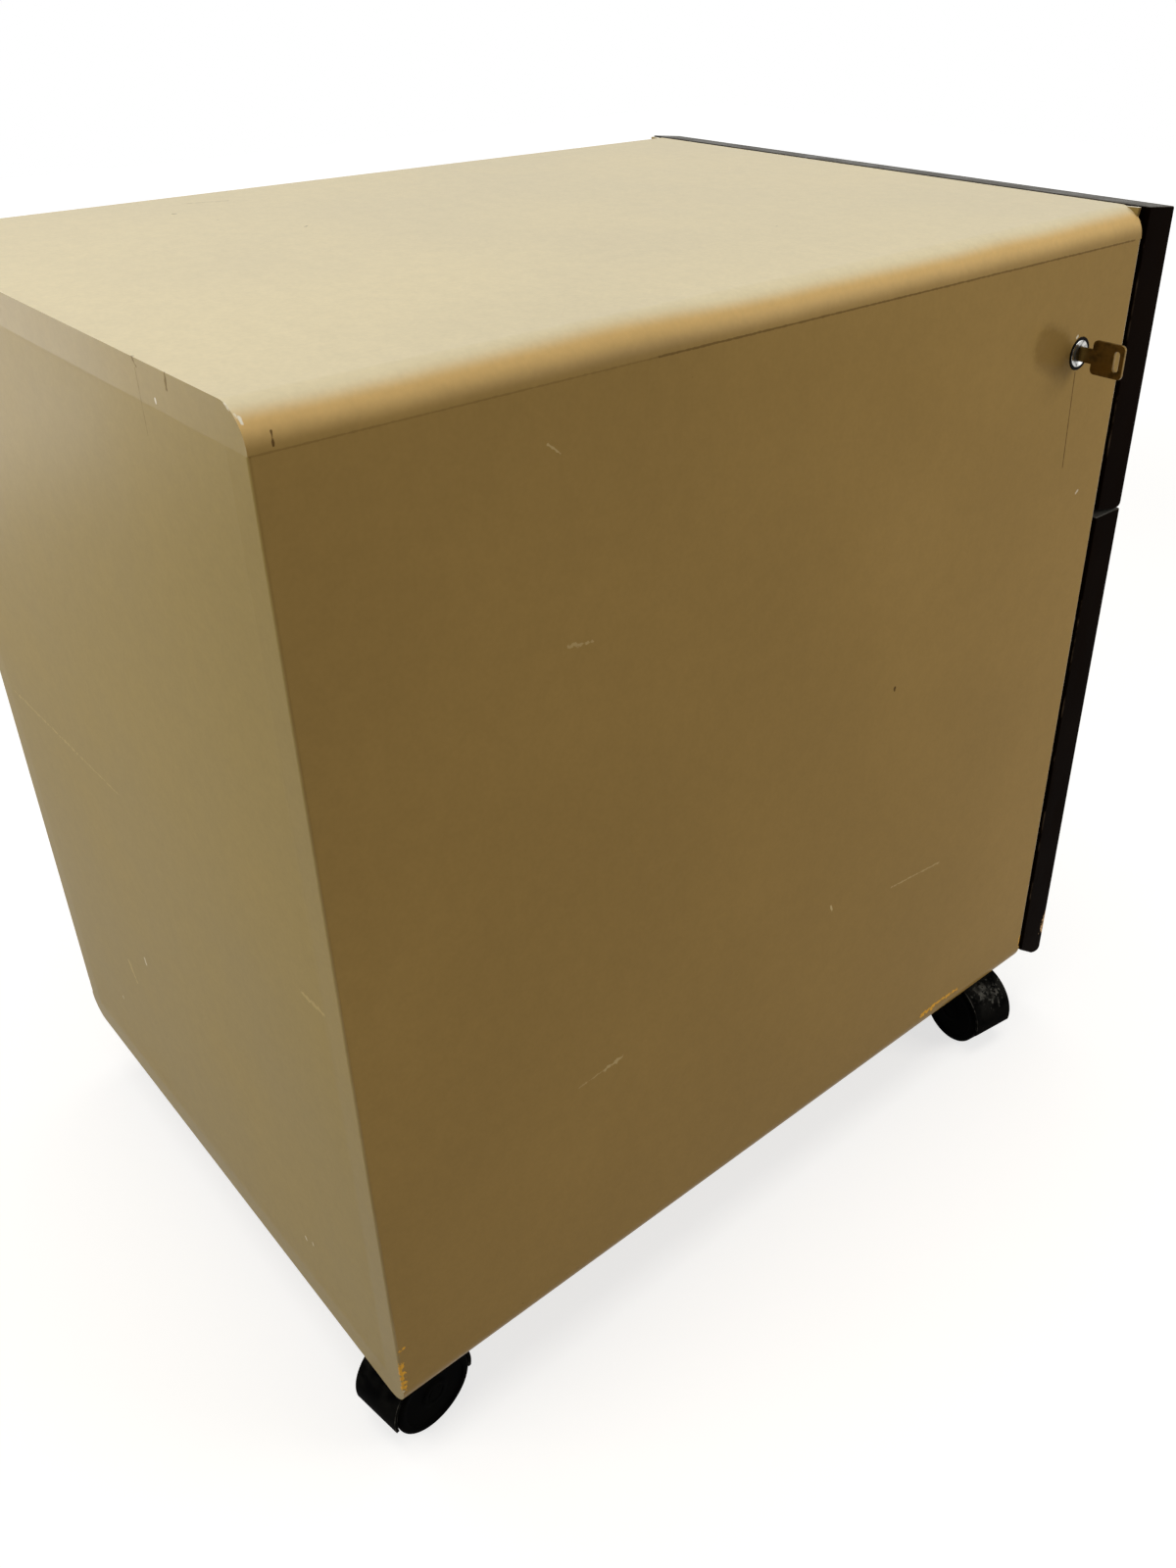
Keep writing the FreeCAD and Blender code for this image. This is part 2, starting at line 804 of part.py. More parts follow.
def caster_wheel(side):
    """One wheel of a pair, dished outside, with a blind bore for the axle."""
    inner = hood_web / 2 + wheel_side_gap
    along = Vector(0, side, 0)
    start = Vector(caster_trail, side * inner, axle_height)
    wheel = rod(wheel_radius, start, along, wheel_width)
    rims = [e for e in wheel.Edges if isinstance(e.Curve, Part.Circle)]
    outer = [e for e in rims if abs(e.CenterOfMass.y) > inner + wheel_width / 2]
    wheel = wheel.makeFillet(wheel_outer_round, outer)
    rims = [e for e in wheel.Edges if isinstance(e.Curve, Part.Circle)]
    near = [e for e in rims if abs(e.CenterOfMass.y) < inner + wheel_inner_round / 2]
    wheel = wheel.makeFillet(wheel_inner_round, near)
    face = start + along * (wheel_width - wheel_dish_depth)
    dish = rod(wheel_radius - wheel_rim, face, along, wheel_dish_depth + overrun)
    dish = dish.cut(rod(wheel_hub_radius, face - along * overrun, along, wheel_dish_depth + 3 * overrun))
    bore = rod(axle_radius, start - along * overrun, along, wheel_width - hub_cap + overrun)
    return wheel.cut(dish).cut(bore)


def caster_axle():
    """Axle pressed into both wheels."""
    half = hood_web / 2 + wheel_side_gap + wheel_width - hub_cap
    return rod(axle_radius, Vector(caster_trail, -half, axle_height), Vector(0, 1, 0), 2 * half)


def wheel_room():
    """Space that the hood leaves for the two wheels."""
    room = []
    for side in (-1, 1):
        start = Vector(caster_trail, side * hood_web / 2, axle_height)
        room.append(rod(hood_room_radius, start, Vector(0, side, 0), wheel_side_gap + wheel_width))
    return room


def caster_hood():
    """Hood over the wheels, with the web that carries the axle and the boss for the swivel pin."""
    along = Vector(0, 1, 0)
    hood_half_width = hood_web / 2 + wheel_side_gap + wheel_width - hood_short_of_wheel
    start = Vector(caster_trail, -hood_half_width, axle_height)
    drum = rod(hood_radius, start, along, 2 * hood_half_width)
    below = block(
        caster_trail - 2 * hood_radius, caster_trail + 2 * hood_radius,
        -2 * hood_half_width, 2 * hood_half_width,
        axle_height - 2 * hood_radius, axle_height - hood_skirt_drop,
    )
    web_keep = block(
        caster_trail - web_drop, caster_trail + web_drop,
        -hood_web / 2, hood_web / 2, axle_height - web_drop, axle_height,
    )
    web_start = Vector(caster_trail, -hood_web / 2, axle_height)
    web = rod(web_drop, web_start, along, hood_web).common(web_keep)
    boss_top = axle_height + hood_radius
    boss_start = Vector(0, 0, boss_top - swivel_boss_height)
    boss = rod(swivel_boss_radius, boss_start, Vector(0, 0, 1), swivel_boss_height)
    hood = drum.cut(below).fuse([boss, web])
    hood = cut_all(hood, wheel_room())
    axle_hole = rod(
        axle_radius + axle_gap, web_start - along * overrun, along, hood_web + 2 * overrun,
    )
    pin_depth = swivel_pin_length - swivel_clearance + swivel_pin_end_gap
    pin_hole = rod(
        swivel_pin_radius + swivel_pin_gap, Vector(0, 0, boss_top + overrun),
        Vector(0, 0, -1), pin_depth + overrun,
    )
    return hood.cut(axle_hole).cut(pin_hole).removeSplitter()


def caster_plate_solid():
    """Swivel plate under the bottom board with its riveted pin."""
    half = caster_plate_size / 2
    plate = block(-half, half, -half, half, plate_underside, carcass_bottom)
    corners = [e for e in plate.Edges if abs(e.tangentAt(e.FirstParameter).z) > 0.5]
    plate = plate.makeFillet(caster_plate_corner, corners)
    pin = rod(swivel_pin_radius, Vector(0, 0, plate_underside), Vector(0, 0, -1), swivel_pin_length)
    return plate.fuse(pin).removeSplitter()


def caster_plate_screws():
    """Four flush screws up through the plate."""
    half = caster_plate_size / 2 - caster_screw_inset
    return [countersunk_screw(
        Vector(x, y, plate_underside), Vector(0, 0, 1), screw_radius, screw_length,
        screw_head_radius, screw_head_height,
    ) for x in (-half, half) for y in (-half, half)]


def caster_places():
    """Name, pin position and rest heading of each caster."""
    x = half_width - caster_from_side
    front = front_plane + caster_from_front
    back = half_depth - caster_from_back
    return (
        ("front_left", Vector(-x, front, 0), heading_front_left),
        ("front_right", Vector(x, front, 0), heading_front_right),
        ("back_left", Vector(-x, back, 0), heading_back_left),
        ("back_right", Vector(x, back, 0), heading_back_right),
    )


def placed(shape, place, heading=0.0):
    """A copy of a caster piece, turned to its heading and moved to its pin."""
    copy = shape.copy()
    copy.rotate(Vector(0, 0, 0), Vector(0, 0, 1), heading)
    copy.translate(place)
    return copy


# Assembly

def build_carcass(nodes):
    """Boards, rail, dowels, cabinet channels and their screws."""
    dowels = carcass_dowels()
    screws = cabinet_slide_screws(upper_slide_height) + cabinet_slide_screws(lower_slide_height)
    screws += guide_screws()
    plate_screws = [placed(s, place) for _, place, _ in caster_places() for s in caster_plate_screws()]
    guides = lock_bar_guides()
    top = cover_board(carcass_top, inner_top)
    bottom = cover_board(carcass_bottom, inner_bottom)
    left = block(-half_width, -inner_half, -half_depth, half_depth, inner_bottom, inner_top)
    right = block(inner_half, half_width, -half_depth, half_depth, inner_bottom, inner_top)
    nodes["top_panel"] = [cut_all(top, dowels)]
    nodes["bottom_panel"] = [cut_all(bottom, dowels + plate_screws)]
    nodes["left_side_panel"] = [cut_all(cut_all(left, lock_cuts()), dowels + screws)]
    nodes["right_side_panel"] = [cut_all(right, dowels + screws)]
    nodes["back_panel"] = [block(-inner_half, inner_half, inner_back, half_depth, inner_bottom, inner_top)]
    nodes["middle_rail"] = [block(
        -inner_half, inner_half, front_plane, front_plane + rail_depth,
        middle_rail_bottom, middle_rail_top,
    )]
    nodes["carcass_dowels"] = dowels
    nodes["carcass_screws"] = screws
    nodes["lock_bar_guides"] = [cut_all(guide, screws) for guide in guides]
    for name, height in (("upper", upper_slide_height), ("lower", lower_slide_height)):
        nodes[name + "_cabinet_channels"] = [cut_all(c, screws) for c in cabinet_channels(height)]
        nodes[name + "_middle_channels"] = middle_channels(height)
    plate = caster_plate_solid()
    nodes["caster_plates"] = [cut_all(placed(plate, place), plate_screws) for _, place, _ in caster_places()]
    nodes["caster_plate_screws"] = plate_screws


def build_drawer(nodes, name, front, base, rim, slide, pull_z, catch_z):
    """One drawer: front, box, pull, channels, screws and lock catch."""
    box_screws = front_screws(base, rim)
    rail_screws = drawer_slide_screws(slide)
    nodes[name + "_front"] = [cut_all(front, [pull_pocket(pull_z)] + box_screws)]
    nodes[name + "_pull"] = [pull_insert(pull_z)]
    for piece, plank in drawer_box(base, rim).items():
        nodes[name + "_" + piece] = [cut_all(plank, box_screws + rail_screws)]
    nodes[name + "_front_screws"] = box_screws
    nodes[name + "_drawer_channels"] = [cut_all(c, rail_screws) for c in drawer_channels(slide)]
    nodes[name + "_channel_screws"] = rail_screws
    nodes[name + "_lock_catch"] = [lock_catch(catch_z)]


def build_drawers(nodes):
    """Both drawers with what each holds inside."""
    build_drawer(
        nodes, "upper", upper_front(), upper_box_base, upper_box_rim,
        upper_slide_height, carcass_top - pull_below_edge, upper_catch_z,
    )
    build_drawer(
        nodes, "lower", lower_front(), lower_box_base, lower_box_rim,
        lower_slide_height, split_height - pull_below_edge, lower_catch_z,
    )
    grooves = follower_grooves()
    wall = block(
        -divider / 2, divider / 2, front_back_face + box_board, box_back - box_board,
        row_floor(), upper_box_rim - divider_below_rim,
    )
    nodes["upper_divider"] = [cut_all(wall, grooves)]
    for piece in ("upper_box_left", "upper_box_right"):
        nodes[piece] = [cut_all(solid, grooves) for solid in nodes[piece]]
    nodes["upper_left_follower"] = [follower(-1)]
    nodes["upper_right_follower"] = [follower(1)]
    rails = hang_rails()
    for piece in ("lower_box_left", "lower_box_right"):
        nodes[piece] = [cut_all(solid, rails) for solid in nodes[piece]]
    nodes["lower_hanging_rails"] = rails


def build_lock(nodes):
    """Cam lock, key and lock bar."""
    nodes["lock_housing"] = [lock_housing()]
    nodes["lock_nut"] = [lock_nut()]
    nodes["lock_plug"] = [lock_plug()]
    nodes["lock_key"] = [lock_key()]
    nodes["lock_cam"] = [lock_cam()]
    nodes["lock_cam_screw"] = [cam_screw()]
    nodes["lock_bar"] = [lock_bar()]


def build_casters(nodes):
    """Hood, axle and wheels of the four casters."""
    hood = caster_hood()
    axle = caster_axle()
    wheels = [caster_wheel(side) for side in (-1, 1)]
    for name, place, heading in caster_places():
        nodes["caster_" + name + "_hood"] = [placed(hood, place, heading)]
        nodes["caster_" + name + "_axle"] = [placed(axle, place, heading)]
        nodes["caster_" + name + "_wheels"] = [placed(wheel, place, heading) for wheel in wheels]


def centre_shift(nodes):
    """The move that brings the middle of the whole box to x = y = 0."""
    whole = Part.makeCompound([solid for solids in nodes.values() for solid in solids])
    limits = whole.optimalBoundingBox(False, False)
    return Vector(-limits.Center.x, -limits.Center.y, 0)


def build():
    """All nodes in the part's own frame, and the move from the drawing frame to it."""
    nodes = {}
    build_carcass(nodes)
    build_drawers(nodes)
    build_lock(nodes)
    build_casters(nodes)
    nodes = {name: [solid for shape in shapes for solid in shape.Solids] for name, shapes in nodes.items()}
    shift = centre_shift(nodes)
    for solids in nodes.values():
        for solid in solids:
            solid.translate(shift)
    return nodes, shift


def main():
    """Write one STEP file per node."""
    os.makedirs("parts", exist_ok=True)
    nodes, shift = build()
    for name, solids in nodes.items():
        shape = solids[0] if len(solids) == 1 else Part.makeCompound(solids)
        shape.exportStep("parts/" + name + ".step")
    print(len(nodes), "nodes, centred by", shift)


main()
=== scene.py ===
"""Dresses the microfiche cabinet: painted boards, dark fronts, cam lock, casters and drawers.

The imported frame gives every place. Sizes here are millimetres, and become metres in piece().
"""
import json
import logging
import math
from dataclasses import dataclass, replace
from enum import Enum
from typing import Any, Callable, Optional

import bmesh
import bpy
from bpy.types import Material, NodeSocket, NodeTree
from mathutils import Matrix, Vector


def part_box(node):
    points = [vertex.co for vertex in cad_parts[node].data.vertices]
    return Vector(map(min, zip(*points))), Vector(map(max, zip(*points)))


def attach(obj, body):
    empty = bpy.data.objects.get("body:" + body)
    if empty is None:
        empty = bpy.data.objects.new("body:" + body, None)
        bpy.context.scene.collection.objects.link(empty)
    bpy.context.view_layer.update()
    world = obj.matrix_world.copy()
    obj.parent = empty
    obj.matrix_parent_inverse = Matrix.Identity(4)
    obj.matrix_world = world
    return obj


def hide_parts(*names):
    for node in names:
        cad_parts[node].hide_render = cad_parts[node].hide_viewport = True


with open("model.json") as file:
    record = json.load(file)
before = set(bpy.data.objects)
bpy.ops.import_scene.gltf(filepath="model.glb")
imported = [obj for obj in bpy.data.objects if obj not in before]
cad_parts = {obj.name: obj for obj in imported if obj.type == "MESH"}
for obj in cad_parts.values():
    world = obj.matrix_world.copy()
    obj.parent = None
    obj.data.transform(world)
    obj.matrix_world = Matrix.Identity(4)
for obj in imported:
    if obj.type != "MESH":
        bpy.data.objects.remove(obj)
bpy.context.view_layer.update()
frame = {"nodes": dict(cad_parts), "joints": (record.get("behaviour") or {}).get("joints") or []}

MM = 0.001
LOG = logging.getLogger("cabinet")
Mesh, Edge, Vert = bmesh.types.BMesh, bmesh.types.BMEdge, bmesh.types.BMVert
Point = tuple[float, float, float]
Span = tuple[float, float]
Sockets = dict[str, NodeSocket]
Layers = tuple[NodeSocket, NodeSocket, NodeSocket]
WHITE = "#FFFFFF"
# Most of a noise's values lie in this range.
NOISE = (0.3, 0.7)
# A map range that eases in and out, and a mix of colours with its output.
SMOOTH = {"interpolation_type": "SMOOTHSTEP"}
TINT = {"data_type": "RGBA", "out": 2}
# How far a mark sinks, in hills of the orange peel, and what it adds to the roughness.
MARK_HEIGHT = -6.0
MARK_DULLNESS = 0.3
# Places nearer than this, in millimetres, are the same.
NEAR = 0.01
# Least turn in degrees of an edge that is eased.
SHARP_TURN = 28.0
# Faces that turn by less, in degrees, lie in one plane.
FLAT_TURN = 0.4


class Tier(Enum):
    """The two drawers, by the start of their nodes' names."""

    UPPER = "upper"
    LOWER = "lower"


class Corner(Enum):
    """The four casters, by their place under the cabinet."""

    FRONT_LEFT = "front_left"
    FRONT_RIGHT = "front_right"
    BACK_LEFT = "back_left"
    BACK_RIGHT = "back_right"


class Trace(Enum):
    """Kinds of mark that sit at one place: raw wood, white primer that also paints glints as a painted
    highlight, lighter paint or dust, darker paint that once paints a reflection.
    """

    CHIP = "chip"
    BARE = "bare"
    PALE = "pale"
    DARK = "dark"


@dataclass(frozen=True)
class Mark:
    """One scratch, chip or dent, or a spot of painted highlight or reflection: a stroke between two points of
    the cabinet, in millimetres.
    """

    trace: Trace
    start: Point
    end: Point
    width: float
    strength: float = 1.0
    ragged: float = 0.5

    @classmethod
    def flat(cls, axis: int, level: float, trace: Trace, places: tuple[float, float, float, float],
             *looks: float) -> "Mark":
        """A mark in a plane across one axis.

        Args:
            axis: Number of the axis.
            level: Where the plane cuts it, in millimetres.
            trace: Kind of mark.
            places: Start and end, two coordinates each.
            looks: Width, strength and raggedness.

        Returns:
            The mark.
        """
        ends = [list(places[:2]), list(places[2:])]
        for end in ends:
            end.insert(axis, level)
        return cls(trace, tuple(ends[0]), tuple(ends[1]), *looks)


@dataclass(frozen=True)
class Room:
    """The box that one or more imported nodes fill, in millimetres."""

    low: Vector
    high: Vector

    @classmethod
    def of(cls, *nodes: str) -> "Room":
        """Measure nodes of the frame.

        Args:
            nodes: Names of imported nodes.

        Returns:
            The box round all of them.
        """
        corners = [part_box(node) for node in nodes]
        low = Vector([min(corner[0][i] for corner in corners) for i in range(3)])
        high = Vector([max(corner[1][i] for corner in corners) for i in range(3)])
        return cls(low / MM, high / MM)

    @property
    def size(self) -> Vector:
        """Width, depth and height."""
        return self.high - self.low

    @property
    def centre(self) -> Vector:
        """Middle of the box."""
        return (self.high + self.low) / 2


def linear(code: str) -> tuple[float, float, float, float]:
    """Turn an sRGB hex colour to the linear one that a shader takes.

    Args:
        code: Colour as #RRGGBB.

    Returns:
        Red, green, blue and an alpha of 1.
    """
    shares = [int(code[i:i + 2], 16) / 255 for i in (1, 3, 5)]
    steps = [s / 12.92 if s <= 0.04045 else ((s + 0.055) / 1.055) ** 2.4 for s in shares]
    return (steps[0], steps[1], steps[2], 1.0)


def add(tree: NodeTree, kind: str, inputs: Any = (), out: Any = 0, **settings: Any) -> NodeSocket:
    """Add one shader node with its settings and links.

    Args:
        tree: Node tree that takes it.
        kind: Type of the node, without the ShaderNode that all types start with.
        inputs: Value, hex colour or linked socket for each input, in order or by name or number.
        out: Name or number of the output that is wanted.
        settings: Plain properties of the node.

    Returns:
        The wanted output, or the first input where the node has no output.
    """
    node = tree.nodes.new("ShaderNode" + kind)
    for name, value in settings.items():
        setattr(node, name, value)
    for key, value in inputs.items() if isinstance(inputs, dict) else enumerate(inputs):
        if isinstance(value, NodeSocket):
            tree.links.new(value, node.inputs[key])
        else:
            node.inputs[key].default_value = linear(value) if isinstance(value, str) else value
    return node.outputs[out] if node.outputs else node.inputs[0]


def per(millimetres: float) -> float:
    """Scale of a texture whose features are this wide."""
    return 1.0 / (millimetres * MM)


# Finishes

@dataclass(frozen=True)
class Finish:
    """Base of every finish: what is the same all over the surface, and how deep its relief goes."""

    name: str
    base: str = "#808080"
    roughness: float = 0.5
    metallic: float = 0.0
    specular: float = 0.5
    coat: float = 0.0
    relief: float = 0.06
    relief_depth: float = 0.1

    def material(self) -> Material:
        """Make the material once, and hand out the same one after that."""
        found = bpy.data.materials.get(self.name)
        if found:
            return found
        made = bpy.data.materials.new(self.name)
        made.use_nodes = True
        tree = made.node_tree
        tree.nodes.clear()
        plain = {"Base Color": self.base, "Roughness": self.roughness, "Metallic": self.metallic}
        if not self.metallic:
            plain["Specular IOR Level"] = self.specular
        if self.coat:
            plain["Coat Weight"] = self.coat
            plain["Coat Roughness"] = self.roughness / 2
        shader = add(tree, "BsdfPrincipled", plain).node
        add(tree, "OutputMaterial", {"Surface": shader.outputs[0]})
        place = add(tree, "TexCoord", out="Object")
        sockets = self.dress(tree, place)
        relief = {"Height": sockets.pop("Height"), "Strength": self.relief,
                  "Distance": self.relief_depth * MM}
        sockets["Normal"] = add(tree, "Bump", relief)
        for name, socket in sockets.items():
            tree.links.new(socket, shader.inputs[name])
        return made

    def dress(self, tree: NodeTree, place: NodeSocket) -> Sockets:
        """Add the finish's own pattern.

        Args:
            tree: Node tree of the material.
            place: Object coordinates, in metres.

        Returns:
            Sockets to link, by the name of the shader's input, and the height of the relief.
        """
        raise NotImplementedError


def stretched(tree: NodeTree, place: NodeSocket, sizes: Point, detail: float) -> NodeSocket:
    """Noise whose grains have their own size along each axis.

    Args:
        tree: Node tree of the material.
        place: Object coordinates.
        sizes: Grain size along X, Y and Z, in millimetres.
        detail: Octaves of the noise.

    Returns:
        Noise value, mostly 0.3 to 0.7.
    """
    scale = tuple(per(size) for size in sizes)
    spread = add(tree, "VectorMath", (place, scale), operation="MULTIPLY")
    return add(tree, "TexNoise", {"Vector": spread, "Scale": 1.0, "Detail": detail})


def tinted(tree: NodeTree, colour: Any, tint: Any, pattern: NodeSocket,
           rise: Span, shares: Span) -> NodeSocket:
    """Blend a tint into a colour, by a share that follows a pattern.

    Args:
        tree: Node tree of the material.
        colour: Colour so far, as a hex code or a socket.
        tint: Colour to blend in, likewise.
        pattern: Value that the share follows.
        rise: Range of the pattern over which the share changes.
        shares: Share of the tint at either end of that range, and beyond it.

    Returns:
        The blended colour.
    """
    share = add(tree, "MapRange", (pattern, *rise, *shares), **SMOOTH)
    return add(tree, "Mix", {0: share, 6: colour, 7: tint}, **TINT)


def toned(tree: NodeTree, colour: Any, pattern: NodeSocket, tones: Span) -> NodeSocket:
    """Darken and brighten a colour with a noise, between two factors."""
    tone = add(tree, "MapRange", (pattern, *NOISE, *tones), **SMOOTH)
    return add(tree, "HueSaturation", {"Value": tone, "Color": colour})


def rubbed_and_highlit_edges(tree: NodeTree, place: NodeSocket, colour: Any, tint: str,
                 patch: Span, rise: Span, shares: Span) -> tuple[NodeSocket, NodeSocket]:
    """Blend in a tint where the layer rub_and_highlight marks an edge, broken up by patches: rubbed wear, and
    on the enamel and lacquer also a painted highlight.

    Args:
        tree: Node tree of the material.
        place: Object coordinates.
        colour: Colour so far.
        tint: Colour of a rubbed edge, which on the enamel and lacquer is also a painted highlight.
        patch: Size of the patches in millimetres, and octaves of their noise.
        rise: Range of the noise over which the share changes.
        shares: Share of the tint at either end of that range.

    Returns:
        The blended colour, and the noise of the patches.
    """
    rub_and_highlight = add(tree, "Attribute", out="Fac", attribute_name="rub_and_highlight")
    rub = add(tree, "TexNoise", {"Vector": place, "Scale": per(patch[0]), "Detail": patch[1]})
    broken = add(tree, "MapRange", (rub, *rise, *shares), **SMOOTH)
    share = add(tree, "Math", (rub_and_highlight, broken), operation="MULTIPLY")
    return add(tree, "Mix", {0: share, 6: colour, 7: tint}, **TINT), rub


def stroke_mask(tree: NodeTree, place: NodeSocket, jitter: NodeSocket, mark: Mark) -> NodeSocket:
    """Mask of one mark: 1 on its stroke, 0 away from it, with ragged sides.

    Args:
        tree: Node tree of the material.
        place: Object coordinates.
        jitter: Noise that breaks up the sides.
        mark: The mark to draw.

    Returns:
        Share of the mark at each point.
    """
    start = Vector(mark.start) * MM
    run = (Vector(mark.end) - Vector(mark.start)) * MM
    along = run / max(run.length_squared, MM * MM * MM)
    width = mark.width * MM
    shift = width * mark.ragged
    offset = add(tree, "VectorMath", (place, start), operation="SUBTRACT")
    share = add(tree, "VectorMath", (offset, along), out="Value", operation="DOT_PRODUCT")
    share = add(tree, "Math", (share, 0.0), operation="ADD", use_clamp=True)
    nearest = add(tree, "VectorMath", {0: run, "Scale": share}, operation="SCALE")
    gap = add(tree, "VectorMath", (offset, nearest), out="Value", operation="DISTANCE")
    ragged = add(tree, "Math", (jitter, 4 * shift, -2 * shift), operation="MULTIPLY_ADD")
    gap = add(tree, "Math", (gap, ragged), operation="ADD")
    return add(tree, "MapRange", (gap, 0.3 * width, 0.6 * width, mark.strength, 0.0), **SMOOTH)


def marks_mask(tree: NodeTree, place: NodeSocket, marks: tuple[Mark, ...],
               trace: Trace) -> Optional[NodeSocket]:
    """Mask of all marks of one kind, or None where there is none."""
    chosen = [mark for mark in marks if mark.trace is trace]
    if not chosen:
        return None
    jitter = add(tree, "TexNoise", {"Vector": place, "Scale": per(2.4), "Detail": 3.0})
    whole = None
    for mark in chosen:
        mask = stroke_mask(tree, place, jitter, mark)
        whole = mask if whole is None else add(tree, "Math", (whole, mask), operation="MAXIMUM")
    return whole


def scarred(tree: NodeTree, place: NodeSocket, marks: tuple[Mark, ...], tints: dict[Trace, str],
            layers: Layers) -> Layers:
    """Lay marks over a finish: each kind has its tint, and is sunk and duller.

    Args:
        tree: Node tree of the material.
        place: Object coordinates.
        marks: The marks.
        tints: Colour of each kind of mark that the finish shows.
        layers: Colour, height and roughness so far.

    Returns:
        Colour, height and roughness with the marks.
    """
    colour, depth, rough = layers
    for trace, tint in tints.items():
        mask = marks_mask(tree, place, marks, trace)
        if mask is None:
            continue
        colour = add(tree, "Mix", {0: mask, 6: colour, 7: tint}, **TINT)
        depth = add(tree, "Math", (mask, MARK_HEIGHT, depth), operation="MULTIPLY_ADD")
        rough = add(tree, "Math", (mask, MARK_DULLNESS, rough), operation="MULTIPLY_ADD")
    return colour, depth, rough


@dataclass(frozen=True)
class AgedEnamel(Finish):
    """Sprayed satin enamel on board, decades old.

    The colour by facing is painted light and shade: a light cream top, a painted shade of mustard beige
    on what faces sideways, a greener painted tint on what faces back, and the round edges between.
    Rubbed edges are lighter, partly wear and partly a painted highlight. Chips show the amber board.
    """

    # Painted light and shade: one paint, given a shaded colour on what faces sideways, a tint on what faces
    # back, a half-lit colour on round edges and a lit colour on top.
    shaded_side: str = "#A48449"
    behind: str = "#A68E52"
    turned: str = "#DCB674"
    lit_top: str = "#E0D1AA"
    chipped: str = "#F2B23F"
    scratched: str = "#DCC48E"
    bruised: str = "#553A19"
    # Colour of rubbed edges and bare white spots: wear, and also a painted highlight along the edges and
    # painted glints.
    rub_and_glint: str = "#F3E9D0"
    marks: tuple[Mark, ...] = ()

    def dress(self, tree: NodeTree, place: NodeSocket) -> Sockets:
        """Add painted light and shade by facing, mottling, grain, rubbed edges with a painted highlight,
        marks and orange peel.
        """
        # Painted light and shade: the colour follows which way the surface faces, broken up a little by
        # random patches.
        facing = add(tree, "TexCoord", out="Normal")
        up = add(tree, "SeparateXYZ", (facing,), out=2)
        patches = add(tree, "TexNoise", {"Vector": place, "Scale": per(140), "Detail": 3.0})
        light_and_patches = add(tree, "Math", (patches, 0.3, up), operation="MULTIPLY_ADD")
        rear = add(tree, "SeparateXYZ", (facing,), out=1)
        colour = tinted(tree, self.shaded_side, self.behind, rear, (0.6, 0.95), (0.0, 1.0))
        colour = tinted(tree, colour, self.turned, light_and_patches, (0.15, 0.75), (0.0, 1.0))
        colour = tinted(tree, colour, self.lit_top, light_and_patches, (0.75, 1.12), (0.0, 1.0))

        mottle = add(tree, "TexNoise", {"Vector": place, "Scale": per(9), "Detail": 5.0})
        # The paint's own grain is 0.3 mm, too fine to show, so it is drawn at 2.5 mm.
        grain = add(tree, "TexNoise", {"Vector": place, "Scale": per(2.5), "Detail": 1.0})
        tone = add(tree, "MapRange", (patches, *NOISE, 0.965, 1.03), **SMOOTH)
        for pattern, darker, lighter in ((mottle, 0.975, 1.02), (grain, 0.98, 1.02)):
            part = add(tree, "MapRange", (pattern, 0.25, 0.75, darker, lighter), **SMOOTH)
            tone = add(tree, "Math", (tone, part), operation="MULTIPLY")
        colour = add(tree, "HueSaturation", {"Value": tone, "Color": colour})
        # Rubbed edges turn lighter: wear, and a painted highlight along them.
        colour = rubbed_and_highlit_edges(tree, place, colour, self.rub_and_glint, (26, 6.0), (0.35, 0.6), (0.45, 0.9))[0]

        specks = add(tree, "TexVoronoi", {"Vector": place, "Scale": per(55)})
        colour = tinted(tree, colour, self.bruised, specks, (0.008, 0.014), (0.4, 0.0))

        # Orange peel of a sprayed coat, 1.3 mm from hill to hill.
        depth = add(tree, "TexNoise", {"Vector": place, "Scale": per(1.3), "Detail": 2.0})
        duller, glossier = self.roughness + 0.04, self.roughness - 0.04
        rough = add(tree, "MapRange", (patches, 0.1, 0.9, glossier, duller), **SMOOTH)
        tints = {Trace.PALE: self.scratched, Trace.BARE: self.rub_and_glint,
                 Trace.DARK: self.bruised, Trace.CHIP: self.chipped}
        colour, depth, rough = scarred(tree, place, self.marks, tints, (colour, depth, rough))
        return {"Base Color": colour, "Roughness": rough, "Height": depth}


